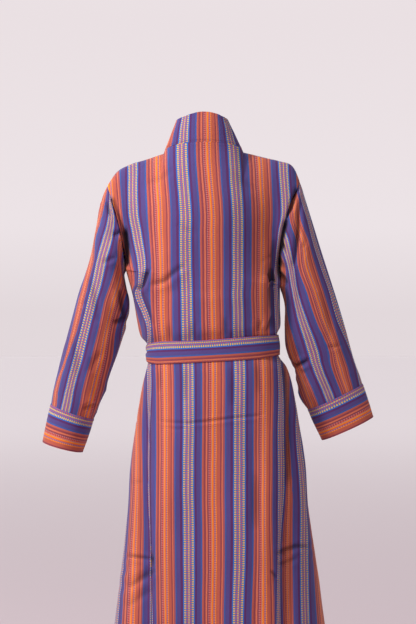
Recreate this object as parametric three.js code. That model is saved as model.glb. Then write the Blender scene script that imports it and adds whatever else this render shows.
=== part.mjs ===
// Cotton kimono robe, hollow as it is worn: cloth walls cut and sewn from a back, two wrapped
// fronts, two sleeves with cuff bands, a collar band and a belt tied in front.
// Millimetres, +Z up. The wearer faces -Y, the wearer's left is +X. The origin is the middle of
// the neck at the height of the nape seam.
import * as THREE from 'three';

// ---------- driving sizes ----------
const clothThickness = 1.6;
const bandThickness = 2.4; // cuffs, collar band and belt are folded double
const seamGap = 0.3;
const bandWidth = 70; // collar band, seam to free edge
const collarOpening = 0.4; // the band's own share of the gap at its curved seam
const hemHeight = -1300;
const neckHalfWidth = 89; // neck seam, middle to the shoulder line
const neckDepth = 60; // neck seam, middle to the nape
const overlapLift = 5; // how far the left front stands off the right one that it covers
const overlapStart = -60;
const overlapFull = -180;
const beltClearance = 1.2;
const knotSize = { width: 62, height: 58, depth: 34 };
const knotRoundness = 3;
const beltEnd = {
  width: 44, topWidth: 26, length: 400, gather: 80, clearance: 4, spread: 22, rows: 12, columns: 3,
};
const yokeSwell = 8; // the back is this much fuller at the blades than at the underarms

// grid counts
const backColumns = 28;
const shoulderColumns = 8;
const frontColumns = 16;
const yokeRows = 12;
const sleeveSides = 22;
const sleeveRings = 15;
const beltColumns = 56;
const bandShares = [0, 0.34, 0.67, 1];
const cuffShares = [0, 0.5, 1];

// Rings of the body below the armholes, hem to underarms: the outline's points on the left and the
// right. steps is how many grid rows lead up to the ring.
const bodyOutline = [
  { leftX: 225, leftZ: -1300, rightX: -297, rightZ: -1300, steps: 0 },
  { leftX: 200, leftZ: -1075, rightX: -270, rightZ: -1075, steps: 3 },
  { leftX: 186, leftZ: -965, rightX: -256, rightZ: -965, steps: 2 },
  { leftX: 171, leftZ: -823, rightX: -230, rightZ: -823, steps: 2 },
  { leftX: 160, leftZ: -708, rightX: -218, rightZ: -712, steps: 2 },
  { leftX: 140, leftZ: -578, rightX: -199, rightZ: -570, steps: 2 },
  { leftX: 131, leftZ: -520, rightX: -187, rightZ: -508, steps: 2 },
  { leftX: 126, leftZ: -494, rightX: -167, rightZ: -478, steps: 1 },
  { leftX: 127, leftZ: -456, rightX: -164, rightZ: -433, steps: 1 },
  { leftX: 144, leftZ: -430, rightX: -172, rightZ: -412, steps: 1 },
  { leftX: 157, leftZ: -360, rightX: -171, rightZ: -370, steps: 2 },
  { leftX: 175, leftZ: -290, rightX: -170, rightZ: -322, steps: 2 },
];

// The same rings seen from above: depth of the back and the front from the side line, roundness,
// and how far round from the middle of the back the side seams lie, in degrees
const bodySections = [
  { back: 168, front: 166, round: 2.1, leftSeam: 35, rightSeam: 30 },
  { back: 156, front: 153, round: 2.1, leftSeam: 40, rightSeam: 35 },
  { back: 149, front: 146, round: 2.1, leftSeam: 43.5, rightSeam: 38 },
  { back: 140, front: 137, round: 2.15, leftSeam: 47.5, rightSeam: 45.5 },
  { back: 133, front: 129, round: 2.2, leftSeam: 52.5, rightSeam: 50.5 },
  { back: 122, front: 118, round: 2.2, leftSeam: 62, rightSeam: 60 },
  { back: 112, front: 110, round: 2.25, leftSeam: 70, rightSeam: 70 },
  { back: 99, front: 102, round: 2.3, leftSeam: 78, rightSeam: 78 },
  { back: 97, front: 101, round: 2.3, leftSeam: 84, rightSeam: 84 },
  { back: 105, front: 108, round: 2.35, leftSeam: 88, rightSeam: 88 },
  { back: 109, front: 111, round: 2.4, leftSeam: 90, rightSeam: 90 },
  { back: 112, front: 112, round: 2.5, leftSeam: 90, rightSeam: 90 },
];
const bodyRings = bodyOutline.map((outline, index) => ({ ...outline, ...bodySections[index] }));
const beltBottomRing = 7;
const beltTopRing = 8;
const topRing = bodyRings.length - 1;

// Armholes: shoulder tip, underarm point, how far the seam bows in, half depths to each side
const armholes = {
  left: { side: 1, tipX: 218, tipZ: -99, underX: 175, underZ: -290, bow: 11, back: 52, front: 46 },
  right: { side: -1, tipX: -216, tipZ: -90, underX: -170, underZ: -322, bow: 19, back: 54, front: 48 },
};

// Shoulder seams, from the neck point out to the tip
const shoulderSeams = {
  left: [
    { x: 90, z: -25 },
    { x: 130, z: -39 },
    { x: 166, z: -50 },
    { x: 196, z: -67 },
    { x: 218, z: -99 },
  ],
  right: [
    { x: -88, z: -22 },
    { x: -130, z: -33 },
    { x: -168, z: -42 },
    { x: -198, z: -53 },
    { x: -216, z: -90 },
  ],
};

// Where the collar band is sewn to the fronts: distance from the middle line at each height
const frontEdges = [
  { z: -25, offset: 89 },
  { z: -90, offset: 92 },
  { z: -150, offset: 90 },
  { z: -220, offset: 78 },
  { z: -300, offset: 52 },
  { z: -380, offset: 18 },
  { z: -450, offset: -20 },
  { z: -520, offset: -40 },
  { z: -800, offset: -50 },
  { z: -1300, offset: -58 },
];

// How the collar band stands at the neck, seam to free edge: inwards, back and up
const collarStands = [
  { z: 0, leftIn: 0, rightIn: 0, back: -8, up: 69 },
  { z: -24, leftIn: 33, rightIn: 47, back: -4, up: 69 },
  { z: -60, leftIn: 54, rightIn: 58, back: -22, up: 42 },
  { z: -105, leftIn: 63, rightIn: 64, back: -16, up: 27 },
  { z: -165, leftIn: 66, rightIn: 66, back: -10, up: 22 },
  { z: -306, leftIn: 66, rightIn: 66, back: -3, up: 22 },
  { z: -400, leftIn: 68, rightIn: 68, back: 0, up: 0 },
  { z: -1300, leftIn: 70, rightIn: 70, back: 0, up: 0 },
];

// Sleeves, shoulder to cuff seam: the outline's outer and inner points, the middle's y, the half
// depths behind and before it, and how far the ring bows in
const sleeveSections = {
  left: [
    { outX: 218, outZ: -99, inX: 175, inZ: -290, y: 0, back: 52, front: 46, bow: 11 },
    { outX: 230, outZ: -131, inX: 179, inZ: -303, y: 0, back: 58, front: 52, bow: 5 },
    { outX: 244, outZ: -198, inX: 175, inZ: -326, y: -2, back: 62, front: 58, bow: 0 },
    { outX: 257, outZ: -262, inX: 168, inZ: -362, y: -4, back: 63, front: 61, bow: 0 },
    { outX: 280, outZ: -334, inX: 175, inZ: -410, y: -7, back: 62, front: 61, bow: 0 },
    { outX: 304, outZ: -418, inX: 193, inZ: -468, y: -12, back: 60, front: 59, bow: 0 },
    { outX: 326, outZ: -500, inX: 217, inZ: -533, y: -20, back: 58, front: 57, bow: 0 },
    { outX: 341, outZ: -556, inX: 226, inZ: -578, y: -27, back: 57, front: 56, bow: 0 },
    { outX: 347.5, outZ: -591, inX: 251, inZ: -625, y: -33, back: 54, front: 54, bow: 0 },
  ],
  right: [
    { outX: -216, outZ: -90, inX: -170, inZ: -322, y: 0, back: 54, front: 48, bow: 19 },
    { outX: -227, outZ: -126, inX: -176, inZ: -343, y: 0, back: 59, front: 53, bow: 9 },
    { outX: -244, outZ: -180, inX: -182, inZ: -374, y: -2, back: 61, front: 57, bow: 1 },
    { outX: -265, outZ: -248, inX: -182, inZ: -414, y: -4, back: 60, front: 58, bow: 0 },
    { outX: -290, outZ: -325, inX: -183.5, inZ: -457, y: -7, back: 57, front: 56, bow: 0 },
    { outX: -317, outZ: -412, inX: -194, inZ: -495, y: -12, back: 54, front: 53, bow: 0 },
    { outX: -338, outZ: -486, inX: -208, inZ: -545, y: -18, back: 50, front: 49, bow: 0 },
    { outX: -352, outZ: -524, inX: -219, inZ: -577, y: -23, back: 47, front: 46, bow: 0 },
    { outX: -359, outZ: -545, inX: -236, inZ: -603, y: -27, back: 44, front: 44, bow: 0 },
  ],
};
const cuffEnds = {
  left: { outX: 367, outZ: -677, inX: 277.5, inZ: -701, y: -42, back: 52, front: 52 },
  right: { outX: -384, outZ: -620.5, inX: -269, inZ: -673, y: -36, back: 42, front: 42 },
};
const cuffStandOff = 1.2; // the cuff's outside stands this far off the sleeve's

// Large folds of the body: degrees round from the middle of the back at the top and the bottom
// of the fold, its heights, half width in degrees, and depth, outwards if positive
const bodyFolds = [
  { name: 'left front flute', top: 125, bottom: 122, zTop: -560, zBottom: -1320, width: 12, depth: 7 },
  { name: 'left front valley', top: 147, bottom: 145, zTop: -520, zBottom: -1320, width: 10, depth: -5 },
  { name: 'right front flute', top: -128, bottom: -124, zTop: -560, zBottom: -1320, width: 12, depth: 7 },
  { name: 'right front valley', top: -150, bottom: -146, zTop: -540, zBottom: -1320, width: 10, depth: -5 },
  { name: 'left waist pinch', top: 62, bottom: 70, zTop: -250, zBottom: -440, width: 8, depth: -6 },
  { name: 'left waist bag', top: 45, bottom: 48, zTop: -300, zBottom: -445, width: 11, depth: 6 },
  { name: 'right waist pinch', top: -60, bottom: -64, zTop: -270, zBottom: -425, width: 8, depth: -5 },
  { name: 'small of the back', top: 0, bottom: 0, zTop: -330, zBottom: -445, width: 22, depth: 5 },
];

// Folds that hang straight down the back of the skirt: x at the top and the bottom of the fold, its
// heights, half width and depth in millimetres. The side seams lie in the two valleys.
const hangingFolds = [
  { name: 'left side valley', xTop: 126, xBottom: 117, zTop: -505, zBottom: -1320, width: 15, depth: -13 },
  { name: 'right side valley', xTop: -184, xBottom: -171, zTop: -495, zBottom: -1320, width: 16, depth: -14 },
  { name: 'left flute', xTop: 84, xBottom: 78, zTop: -560, zBottom: -1320, width: 24, depth: 4 },
  { name: 'right flute', xTop: -142, xBottom: -136, zTop: -540, zBottom: -1320, width: 20, depth: 5 },
  { name: 'right trough', xTop: -112, xBottom: -108, zTop: -600, zBottom: -1320, width: 14, depth: -3 },
  { name: 'middle hollow', xTop: -22, xBottom: -20, zTop: -520, zBottom: -1320, width: 44, depth: -4 },
];

// Large folds of the sleeves: degrees round from the outer edge through the back, share of the
// sleeve's length where the fold starts and ends, half width in degrees, and depth
const sleeveFolds = {
  left: [
    { from: 100, to: 60, start: 0.02, end: 0.3, width: 16, depth: -6 },
    { from: 150, to: 120, start: 0.25, end: 0.62, width: 18, depth: -6 },
    { from: 60, to: 90, start: 0.5, end: 0.95, width: 18, depth: -4 },
    { from: 175, to: 185, start: 0.82, end: 0.96, width: 26, depth: -5 },
    { from: 250, to: 290, start: 0.1, end: 0.6, width: 18, depth: -5 },
  ],
  right: [
    { from: 60, to: 70, start: 0.0, end: 0.28, width: 14, depth: -7 },
    { from: 95, to: 110, start: 0.1, end: 0.55, width: 16, depth: -6 },
    { from: 140, to: 150, start: 0.5, end: 0.95, width: 18, depth: -4 },
    { from: 178, to: 182, start: 0.6, end: 0.82, width: 24, depth: -5 },
    { from: 260, to: 280, start: 0.15, end: 0.7, width: 18, depth: -5 },
  ],
};

// ---------- small helpers ----------
const lerp = (a, b, t) => a + (b - a) * t;
const clamp = (value, low, high) => Math.min(high, Math.max(low, value));
const radians = (degrees) => (degrees * Math.PI) / 180;

// Degrees round, between -180 and 180
const wrapped = (degrees) => (degrees > 180 ? degrees - 360 : degrees);

function smoothStep(low, high, value) {
  const t = clamp((value - low) / (high - low), 0, 1);
  return t * t * (3 - 2 * t);
}

function signedPower(value, power) {
  return Math.sign(value) * Math.abs(value) ** power;
}

// One column of a table at a fractional row, smooth through the rows
function splineColumn(rows, key, position) {
  const last = rows.length - 1;
  const i = clamp(Math.floor(position), 0, last - 1);
  const t = position - i;
  const p1 = rows[i][key];
  const p2 = rows[i + 1][key];
  const p0 = i > 0 ? rows[i - 1][key] : 2 * p1 - p2;
  const p3 = i < last - 1 ? rows[i + 2][key] : 2 * p2 - p1;
  const m1 = (p2 - p0) / 2;
  const m2 = (p3 - p1) / 2;
  const t2 = t * t;
  const t3 = t2 * t;
  return (2 * t3 - 3 * t2 + 1) * p1 + (t3 - 2 * t2 + t) * m1 + (3 * t2 - 2 * t3) * p2 + (t3 - t2) * m2;
}

function splineRow(rows, position) {
  const row = {};
  for (const key of Object.keys(rows[0])) row[key] = splineColumn(rows, key, position);
  return row;
}

// A table with falling z, read at a height
function readAtHeight(rows, key, z) {
  if (z >= rows[0].z) return rows[0][key];
  for (let i = 1; i < rows.length; i += 1) {
    if (z >= rows[i].z) {
      const t = (rows[i - 1].z - z) / (rows[i - 1].z - rows[i].z);
      return lerp(rows[i - 1][key], rows[i][key], t);
    }
  }
  return rows[rows.length - 1][key];
}

// ---------- the body's form ----------
function foldDepth(degrees, z) {
  let depth = 0;
  for (const fold of bodyFolds) {
    if (z > fold.zTop || z < fold.zBottom) continue;
    const along = (fold.zTop - z) / (fold.zTop - fold.zBottom);
    const off = (degrees - lerp(fold.top, fold.bottom, along)) / fold.width;
    const fade = smoothStep(0, 0.25, along) * (fold.zBottom < hemHeight ? 1 : smoothStep(1, 0.75, along));
    depth += fold.depth * fade * Math.exp(-off * off);
  }
  return depth;
}

// facing is 1 at the middle of the back and 0 at the side line
function hangingDepth(x, facing, z) {
  let depth = 0;
  for (const fold of hangingFolds) {
    if (z > fold.zTop) continue;
    const along = (fold.zTop - z) / (fold.zTop - fold.zBottom);
    const off = (x - lerp(fold.xTop, fold.xBottom, along)) / fold.width;
    depth += fold.depth * smoothStep(0, 0.2, along) * Math.exp(-off * off);
  }
  return depth * smoothStep(0, 0.3, facing);
}

// A point of the body's outside on a ring, at degrees round from the middle of the back
function bodyPoint(level, degrees, lift = 0) {
  const ring = splineRow(bodyRings, level);
  const middle = (ring.leftX + ring.rightX) / 2;
  const half = (ring.leftX - ring.rightX) / 2;
  const sine = Math.sin(radians(degrees));
  const cosine = Math.cos(radians(degrees));
  const across = signedPower(sine, 2 / ring.round);
  const depth = cosine > 0 ? ring.back : ring.front;
  const z = lerp(ring.rightZ, ring.leftZ, (across + 1) / 2);
  const out = foldDepth(degrees, z) + hangingDepth(middle + half * across, cosine, z) + lift;
  const x = middle + half * across + out * sine;
  const y = depth * signedPower(cosine, 2 / ring.round) + out * cosine;
  return new THREE.Vector3(x, y, z);
}

// Height along an armhole or a yoke row: 0 at the underarm, 1 at the shoulder
const armholeRise = (v) => (1 - Math.cos(Math.PI * v)) / 2;

function armholePoint(hole, v, face) {
  const rise = armholeRise(v);
  const swing = Math.sin(Math.PI * v);
  const x = lerp(hole.underX, hole.tipX, rise) - hole.side * hole.bow * swing * swing;
  const y = face > 0 ? hole.back * swing : -hole.front * swing;
  return new THREE.Vector3(x, y, lerp(hole.underZ, hole.tipZ, rise));
}

// How full the yoke is below the shoulder line: 0 on the line, 1 at the blades
function yokeFullness(rise) {
  const drop = clamp(1.5 * (1 - rise), 0, 1);
  return (1 - (1 - drop) ** 2) ** 0.8;
}

function yokeShape(offset, v, round) {
  const root = lerp(1 / round, 0.9, smoothStep(0, 0.5, v));
  return Math.max(0, 1 - Math.abs(offset) ** round) ** root;
}

function shoulderPoint(seam, share) {
  const position = share * (seam.length - 1);
  return new THREE.Vector3(splineColumn(seam, 'x', position), 0, splineColumn(seam, 'z', position));
}

// The back panel's upper edge: right shoulder, neck, left shoulder
function backTopPoint(column) {
  const neckColumns = backColumns - 2 * shoulderColumns;
  if (column <= shoulderColumns) return shoulderPoint(shoulderSeams.right, 1 - column / shoulderColumns);
  if (column >= backColumns - shoulderColumns) {
    return shoulderPoint(shoulderSeams.left, (column - (backColumns - shoulderColumns)) / shoulderColumns);
  }
  const turn = Math.PI * (1 - (column - shoulderColumns) / neckColumns);
  const rise = Math.sin(turn);
  const neckPointZ = Math.cos(turn) > 0 ? shoulderSeams.left[0].z : shoulderSeams.right[0].z;
  return new THREE.Vector3(1 + neckHalfWidth * Math.cos(turn), neckDepth * rise, neckPointZ * (1 - rise));
}

// Yoke point between the armholes. top is the point of the shoulder or neck line above it and
// share is its place across at the underarm level, 0 at the right and 1 at the left.
function yokePoint(face, share, v, top, extraDepth) {
  const rise = armholeRise(v);
  const rightEdge = armholePoint(armholes.right, v, face);
  const leftEdge = armholePoint(armholes.left, v, face);
  const topShare = (top.x - armholes.right.tipX) / (armholes.left.tipX - armholes.right.tipX);
  const place = lerp(share, topShare, rise);
  const offset = 2 * place - 1;
  const underZ = lerp(armholes.right.underZ, armholes.left.underZ, share);
  const fullness = yokeFullness(rise);
  const underDepth = bodyRings[topRing][face > 0 ? 'back' : 'front'];
  const depth = (underDepth + extraDepth * Math.sin(Math.PI * v) ** 2) * fullness;
  const shape = yokeShape(offset, v, bodyRings[topRing].round);
  const edgeY = lerp(rightEdge.y, leftEdge.y, place);
  const x = lerp(rightEdge.x, leftEdge.x, place);
  const nearEdge = Math.abs(offset) ** lerp(16, 4, v);
  const y = edgeY * nearEdge + face * depth * shape + top.y * (1 - fullness) ** 2;
  const z = lerp(underZ, top.z, rise);
  const sine = signedPower(clamp(offset, -1, 1), bodyRings[topRing].round / 2);
  const degrees = face > 0 ? Math.asin(sine) / radians(1) : 180 - Math.asin(sine) / radians(1);
  const creased = v < 0.5 ? foldDepth(wrapped(degrees), z) * (1 - 2 * v) : 0;
  return new THREE.Vector3(x, y + face * creased, z);
}

// ---------- walls from grids ----------
function gridNormals(grid, facing) {
  const rows = grid.length;
  const columns = grid[0].length;
  return grid.map((row, i) => row.map((point, j) => {
    const down = grid[Math.max(0, i - 1)][j];
    const up = grid[Math.min(rows - 1, i + 1)][j];
    const left = grid[i][Math.max(0, j - 1)];
    const right = grid[i][Math.min(columns - 1, j + 1)];
    const upward = new THREE.Vector3().subVectors(up, down);
    const normal = new THREE.Vector3().subVectors(right, left).cross(upward);
    return normal.normalize().multiplyScalar(facing);
  }));
}

// Two grids of points, the cloth's outside and its inside, closed round their edges
function wallGeometry(outer, inner, facing, closed = false) {
  const rows = outer.length;
  const columns = outer[0].length;
  const positions = [];
  for (const grid of [outer, inner]) {
    for (const row of grid) for (const point of row) positions.push(point.x, point.y, point.z);
  }
  const indices = [];
  const at = (layer, i, j) => layer * rows * columns + i * columns + (j % columns);
  const quad = (a, b, c, d) => {
    if (facing > 0) indices.push(a, b, c, a, c, d);
    else indices.push(a, c, b, a, d, c);
  };
  const lastColumn = closed ? columns : columns - 1;
  for (let i = 0; i < rows - 1; i += 1) {
    for (let j = 0; j < lastColumn; j += 1) {
      quad(at(0, i, j), at(0, i, j + 1), at(0, i + 1, j + 1), at(0, i + 1, j));
      quad(at(1, i, j), at(1, i + 1, j), at(1, i + 1, j + 1), at(1, i, j + 1));
    }
  }
  for (let j = 0; j < lastColumn; j += 1) {
    quad(at(1, 0, j), at(1, 0, j + 1), at(0, 0, j + 1), at(0, 0, j));
    quad(at(0, rows - 1, j), at(0, rows - 1, j + 1), at(1, rows - 1, j + 1), at(1, rows - 1, j));
  }
  if (!closed) {
    const far = columns - 1;
    for (let i = 0; i < rows - 1; i += 1) {
      quad(at(0, i, 0), at(0, i + 1, 0), at(1, i + 1, 0), at(1, i, 0));
      quad(at(1, i, far), at(1, i + 1, far), at(0, i + 1, far), at(0, i, far));
    }
  }
  const geometry = new THREE.BufferGeometry();
  geometry.setAttribute('position', new THREE.Float32BufferAttribute(positions, 3));
  geometry.setIndex(indices);
  geometry.computeVertexNormals();
  return geometry;
}

// Moves a grid's edges in by half a seam, so that neighbours stay a seam apart
function openSeams(grid, opening) {
  const rows = grid.length;
  const columns = grid[0].length;
  const pull = (point, towards) => {
    const step = new THREE.Vector3().subVectors(towards, point);
    return point.clone().addScaledVector(step.normalize(), opening);
  };
  const trimmed = grid.map((row) => row.map((point) => point.clone()));
  for (let i = 0; i < rows; i += 1) {
    trimmed[i][0] = pull(trimmed[i][0], grid[i][1]);
    trimmed[i][columns - 1] = pull(trimmed[i][columns - 1], grid[i][columns - 2]);
  }
  for (let j = 0; j < columns; j += 1) {
    trimmed[0][j] = pull(trimmed[0][j], grid[1][j]);
    trimmed[rows - 1][j] = pull(trimmed[rows - 1][j], grid[rows - 2][j]);
  }
  return trimmed;
}

function clothSolid(name, colour, grid, facing, thickness, normals, opening = seamGap / 2) {
  const outer = openSeams(grid, opening);
  const inner = outer.map((row, i) => row.map((point, j) => {
    return point.clone().addScaledVector(normals[i][j], -thickness);
  }));
  return namedMesh(name, colour, wallGeometry(outer, inner, facing));
}

function namedMesh(name, colour, geometry) {
  const material = new THREE.MeshStandardMaterial({ color: colour, roughness: 0.9, metalness: 0 });
  const mesh = new THREE.Mesh(geometry, material);
  mesh.name = name;
  return mesh;
}

const colours = {
  body: 0x7a4a72,
  front: 0x74466e,
  sleeve: 0x7d4c70,
  cuff: 0x9a4c48,
  collar: 0x6f4a80,
  belt: 0x6a4a78,
};

// ---------- shared normals along seams ----------
function shoulderNormal(seam, share) {
  const before = shoulderPoint(seam, Math.max(0, share - 0.05));
  const after = shoulderPoint(seam, Math.min(1, share + 0.05));
  const run = after.sub(before);
  const normal = new THREE.Vector3(-run.z, 0, run.x).normalize();
  return normal.z < 0 ? normal.negate() : normal;
}

function armholeNormal(hole, v, face) {
  const swing = Math.sin(Math.PI * v);
  const upward = smoothStep(0.6, 1, v);
  return new THREE.Vector3(hole.side * 0.7, face * swing * 1.2, upward * 1.2).normalize();
}

// ---------- rows shared by the back and the fronts ----------
const lowerLevels = [0];
bodyRings.forEach((ring, index) => {
  for (let step = 1; step <= ring.steps; step += 1) lowerLevels.push(index - 1 + step / ring.steps);
});
const yokeSteps = Array.from({ length: yokeRows }, (_, i) => (i + 1) / yokeRows);

// The left front is lifted off the right one where it covers it
function frontEdgeX(side, middle, z) {
  return middle + side * readAtHeight(frontEdges, 'offset', z);
}

function layerLift(side, x, z, middle) {
  if (side < 0) return 0;
  const coveredTo = frontEdgeX(-1, middle, z) + bandWidth;
  const nearSide = smoothStep(coveredTo + 45, coveredTo + 10, x);
  return overlapLift * nearSide * smoothStep(overlapStart, overlapFull, z);
}

function sideSeamDegrees(level, side) {
  return side * splineColumn(bodyRings, side > 0 ? 'leftSeam' : 'rightSeam', level);
}

// Degrees round at which a ring crosses a given x on the front
function degreesAtX(level, x) {
  const ring = splineRow(bodyRings, level);
  const middle = (ring.leftX + ring.rightX) / 2;
  const half = (ring.leftX - ring.rightX) / 2;
  const across = clamp((x - middle) / half, -0.999, 0.999);
  const degrees = Math.asin(signedPower(across, ring.round / 2)) / radians(1);
  return 180 - degrees;
}

function frontPointAtX(level, x, side) {
  const ring = splineRow(bodyRings, level);
  const middle = (ring.leftX + ring.rightX) / 2;
  const degrees = degreesAtX(level, x);
  const z = (ring.leftZ + ring.rightZ) / 2;
  return bodyPoint(level, degrees > 180 ? degrees - 360 : degrees, layerLift(side, x, z, middle));
}

// ---------- panels: grids of points on the outside of the cloth ----------
const underRow = lowerLevels.length - 1;
const lastRow = underRow + yokeRows;
const yokeHeight = (row) => (row <= underRow ? 0 : yokeSteps[row - underRow - 1]);
const yokeSpread = (t) => Math.sin((t * Math.PI) / 2) ** 1.25;
const ringMiddle = (ring) => (ring.leftX + ring.rightX) / 2;
const ringHeight = (ring) => (ring.leftZ + ring.rightZ) / 2;

function backGrid() {
  const grid = lowerLevels.map((level) => {
    const ring = splineRow(bodyRings, level);
    const row = [];
    for (let j = 0; j <= backColumns; j += 1) {
      row.push(bodyPoint(level, lerp(-ring.rightSeam, ring.leftSeam, j / backColumns)));
    }
    return row;
  });
  for (const v of yokeSteps) {
    const row = [];
    for (let j = 0; j <= backColumns; j += 1) {
      const sine = Math.sin(radians(lerp(-90, 90, j / backColumns)));
      const share = (signedPower(sine, 2 / bodyRings[topRing].round) + 1) / 2;
      row.push(yokePoint(1, share, v, backTopPoint(j), yokeSwell));
    }
    grid.push(row);
  }
  return grid;
}

function frontGrid(side) {
  const grid = lowerLevels.map((level) => {
    const ring = splineRow(bodyRings, level);
    const middle = ringMiddle(ring);
    const z = ringHeight(ring);
    const edge = degreesAtX(level, frontEdgeX(side, middle, z));
    const seamward = lerp(1.4, 1, smoothStep(0, beltBottomRing, level));
    const row = [];
    for (let j = 0; j <= frontColumns; j += 1) {
      const portion = (j / frontColumns) ** seamward;
      const degrees = lerp(sideSeamDegrees(level, side), side > 0 ? edge : edge - 360, portion);
      const flat = bodyPoint(level, wrapped(degrees));
      row.push(bodyPoint(level, wrapped(degrees), layerLift(side, flat.x, z, middle)));
    }
    return row;
  });
  for (const v of yokeSteps) grid.push(frontYokeRow(side, v));
  return grid;
}

// A row of a front's yoke, from the armhole to the line where the collar band is sewn on
function frontYokeRow(side, v) {
  const hole = side > 0 ? armholes.left : armholes.right;
  const seam = side > 0 ? shoulderSeams.left : shoulderSeams.right;
  const ring = bodyRings[topRing];
  const rise = armholeRise(v);
  const edgeZ = lerp(ringHeight(ring), seam[0].z, rise);
  const middle = ringMiddle(ring) * (1 - rise);
  const edgeX = v === 1 ? seam[0].x : frontEdgeX(side, middle, edgeZ);
  const rightX = armholePoint(armholes.right, v, -1).x;
  const leftX = armholePoint(armholes.left, v, -1).x;
  const row = [];
  for (let j = 0; j <= frontColumns; j += 1) {
    const portion = j / frontColumns;
    const top = shoulderPoint(seam, 1 - portion);
    if (v === 1) {
      row.push(top);
      continue;
    }
    const x = lerp(armholePoint(hole, v, -1).x, edgeX, lerp(yokeSpread(portion), portion, rise));
    const place = (x - rightX) / (leftX - rightX);
    const topShare = (top.x - armholes.right.tipX) / (armholes.left.tipX - armholes.right.tipX);
    const point = yokePoint(-1, (place - topShare * rise) / (1 - rise), v, top, 0);
    point.z = lerp(lerp(armholes.right.underZ, armholes.left.underZ, place), top.z, rise);
    point.y -= layerLift(side, point.x, point.z, middle);
    row.push(point);
  }
  return row;
}

// The collar band's sewn line: up the left front, round the neck, down the right front.
// Each place names its side and, below the armholes, its ring level.
function collarLine(back, leftFront, rightFront) {
  const line = [];
  const neckFirst = backColumns - shoulderColumns - 1;
  for (let i = 0; i <= lastRow; i += 1) {
    line.push({ point: leftFront[i][frontColumns], side: 1, level: lowerLevels[i] });
  }
  for (let j = neckFirst; j > shoulderColumns; j -= 1) {
    const point = back[lastRow][j];
    line.push({ point, side: Math.sign(point.x) });
  }
  for (let i = lastRow; i >= 0; i -= 1) {
    line.push({ point: rightFront[i][frontColumns], side: -1, level: lowerLevels[i] });
  }
  return line;
}

function bandPoint(place, share) {
  const { point, side, level } = place;
  const inward = readAtHeight(collarStands, side > 0 ? 'leftIn' : 'rightIn', point.z);
  const back = readAtHeight(collarStands, 'back', point.z);
  const up = readAtHeight(collarStands, 'up', point.z);
  if (level === undefined) {
    return point.clone().add(new THREE.Vector3(-side * inward, back, up).multiplyScalar(share));
  }
  const onCloth = (part) => {
    const lifted = Math.min(topRing, level + (levelsPerMillimetre(level) * up * part));
    const x = point.x - side * inward * part;
    const ring = splineRow(bodyRings, lifted);
    const lift = layerLift(side, x, ringHeight(ring), ringMiddle(ring));
    const surface = bodyPoint(lifted, wrapped(degreesAtX(lifted, x)), lift);
    surface.z = Math.max(surface.z, point.z + up * part);
    return surface;
  };
  const seamStep = point.clone().sub(onCloth(0));
  return onCloth(share).addScaledVector(seamStep, 1 - share);
}

function levelsPerMillimetre(level) {
  const from = Math.min(level, topRing - 0.02);
  const rise = ringHeight(splineRow(bodyRings, from + 0.01)) - ringHeight(splineRow(bodyRings, from));
  return 0.01 / rise;
}

// ---------- the sewn body: back, fronts and collar band share the normals of their seams ----------
function meetNormals(...places) {
  const sum = new THREE.Vector3();
  for (const { normals, i, j } of places) sum.add(normals[i][j]);
  sum.normalize();
  for (const { normals, i, j } of places) normals[i][j] = sum.clone();
}

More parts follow.
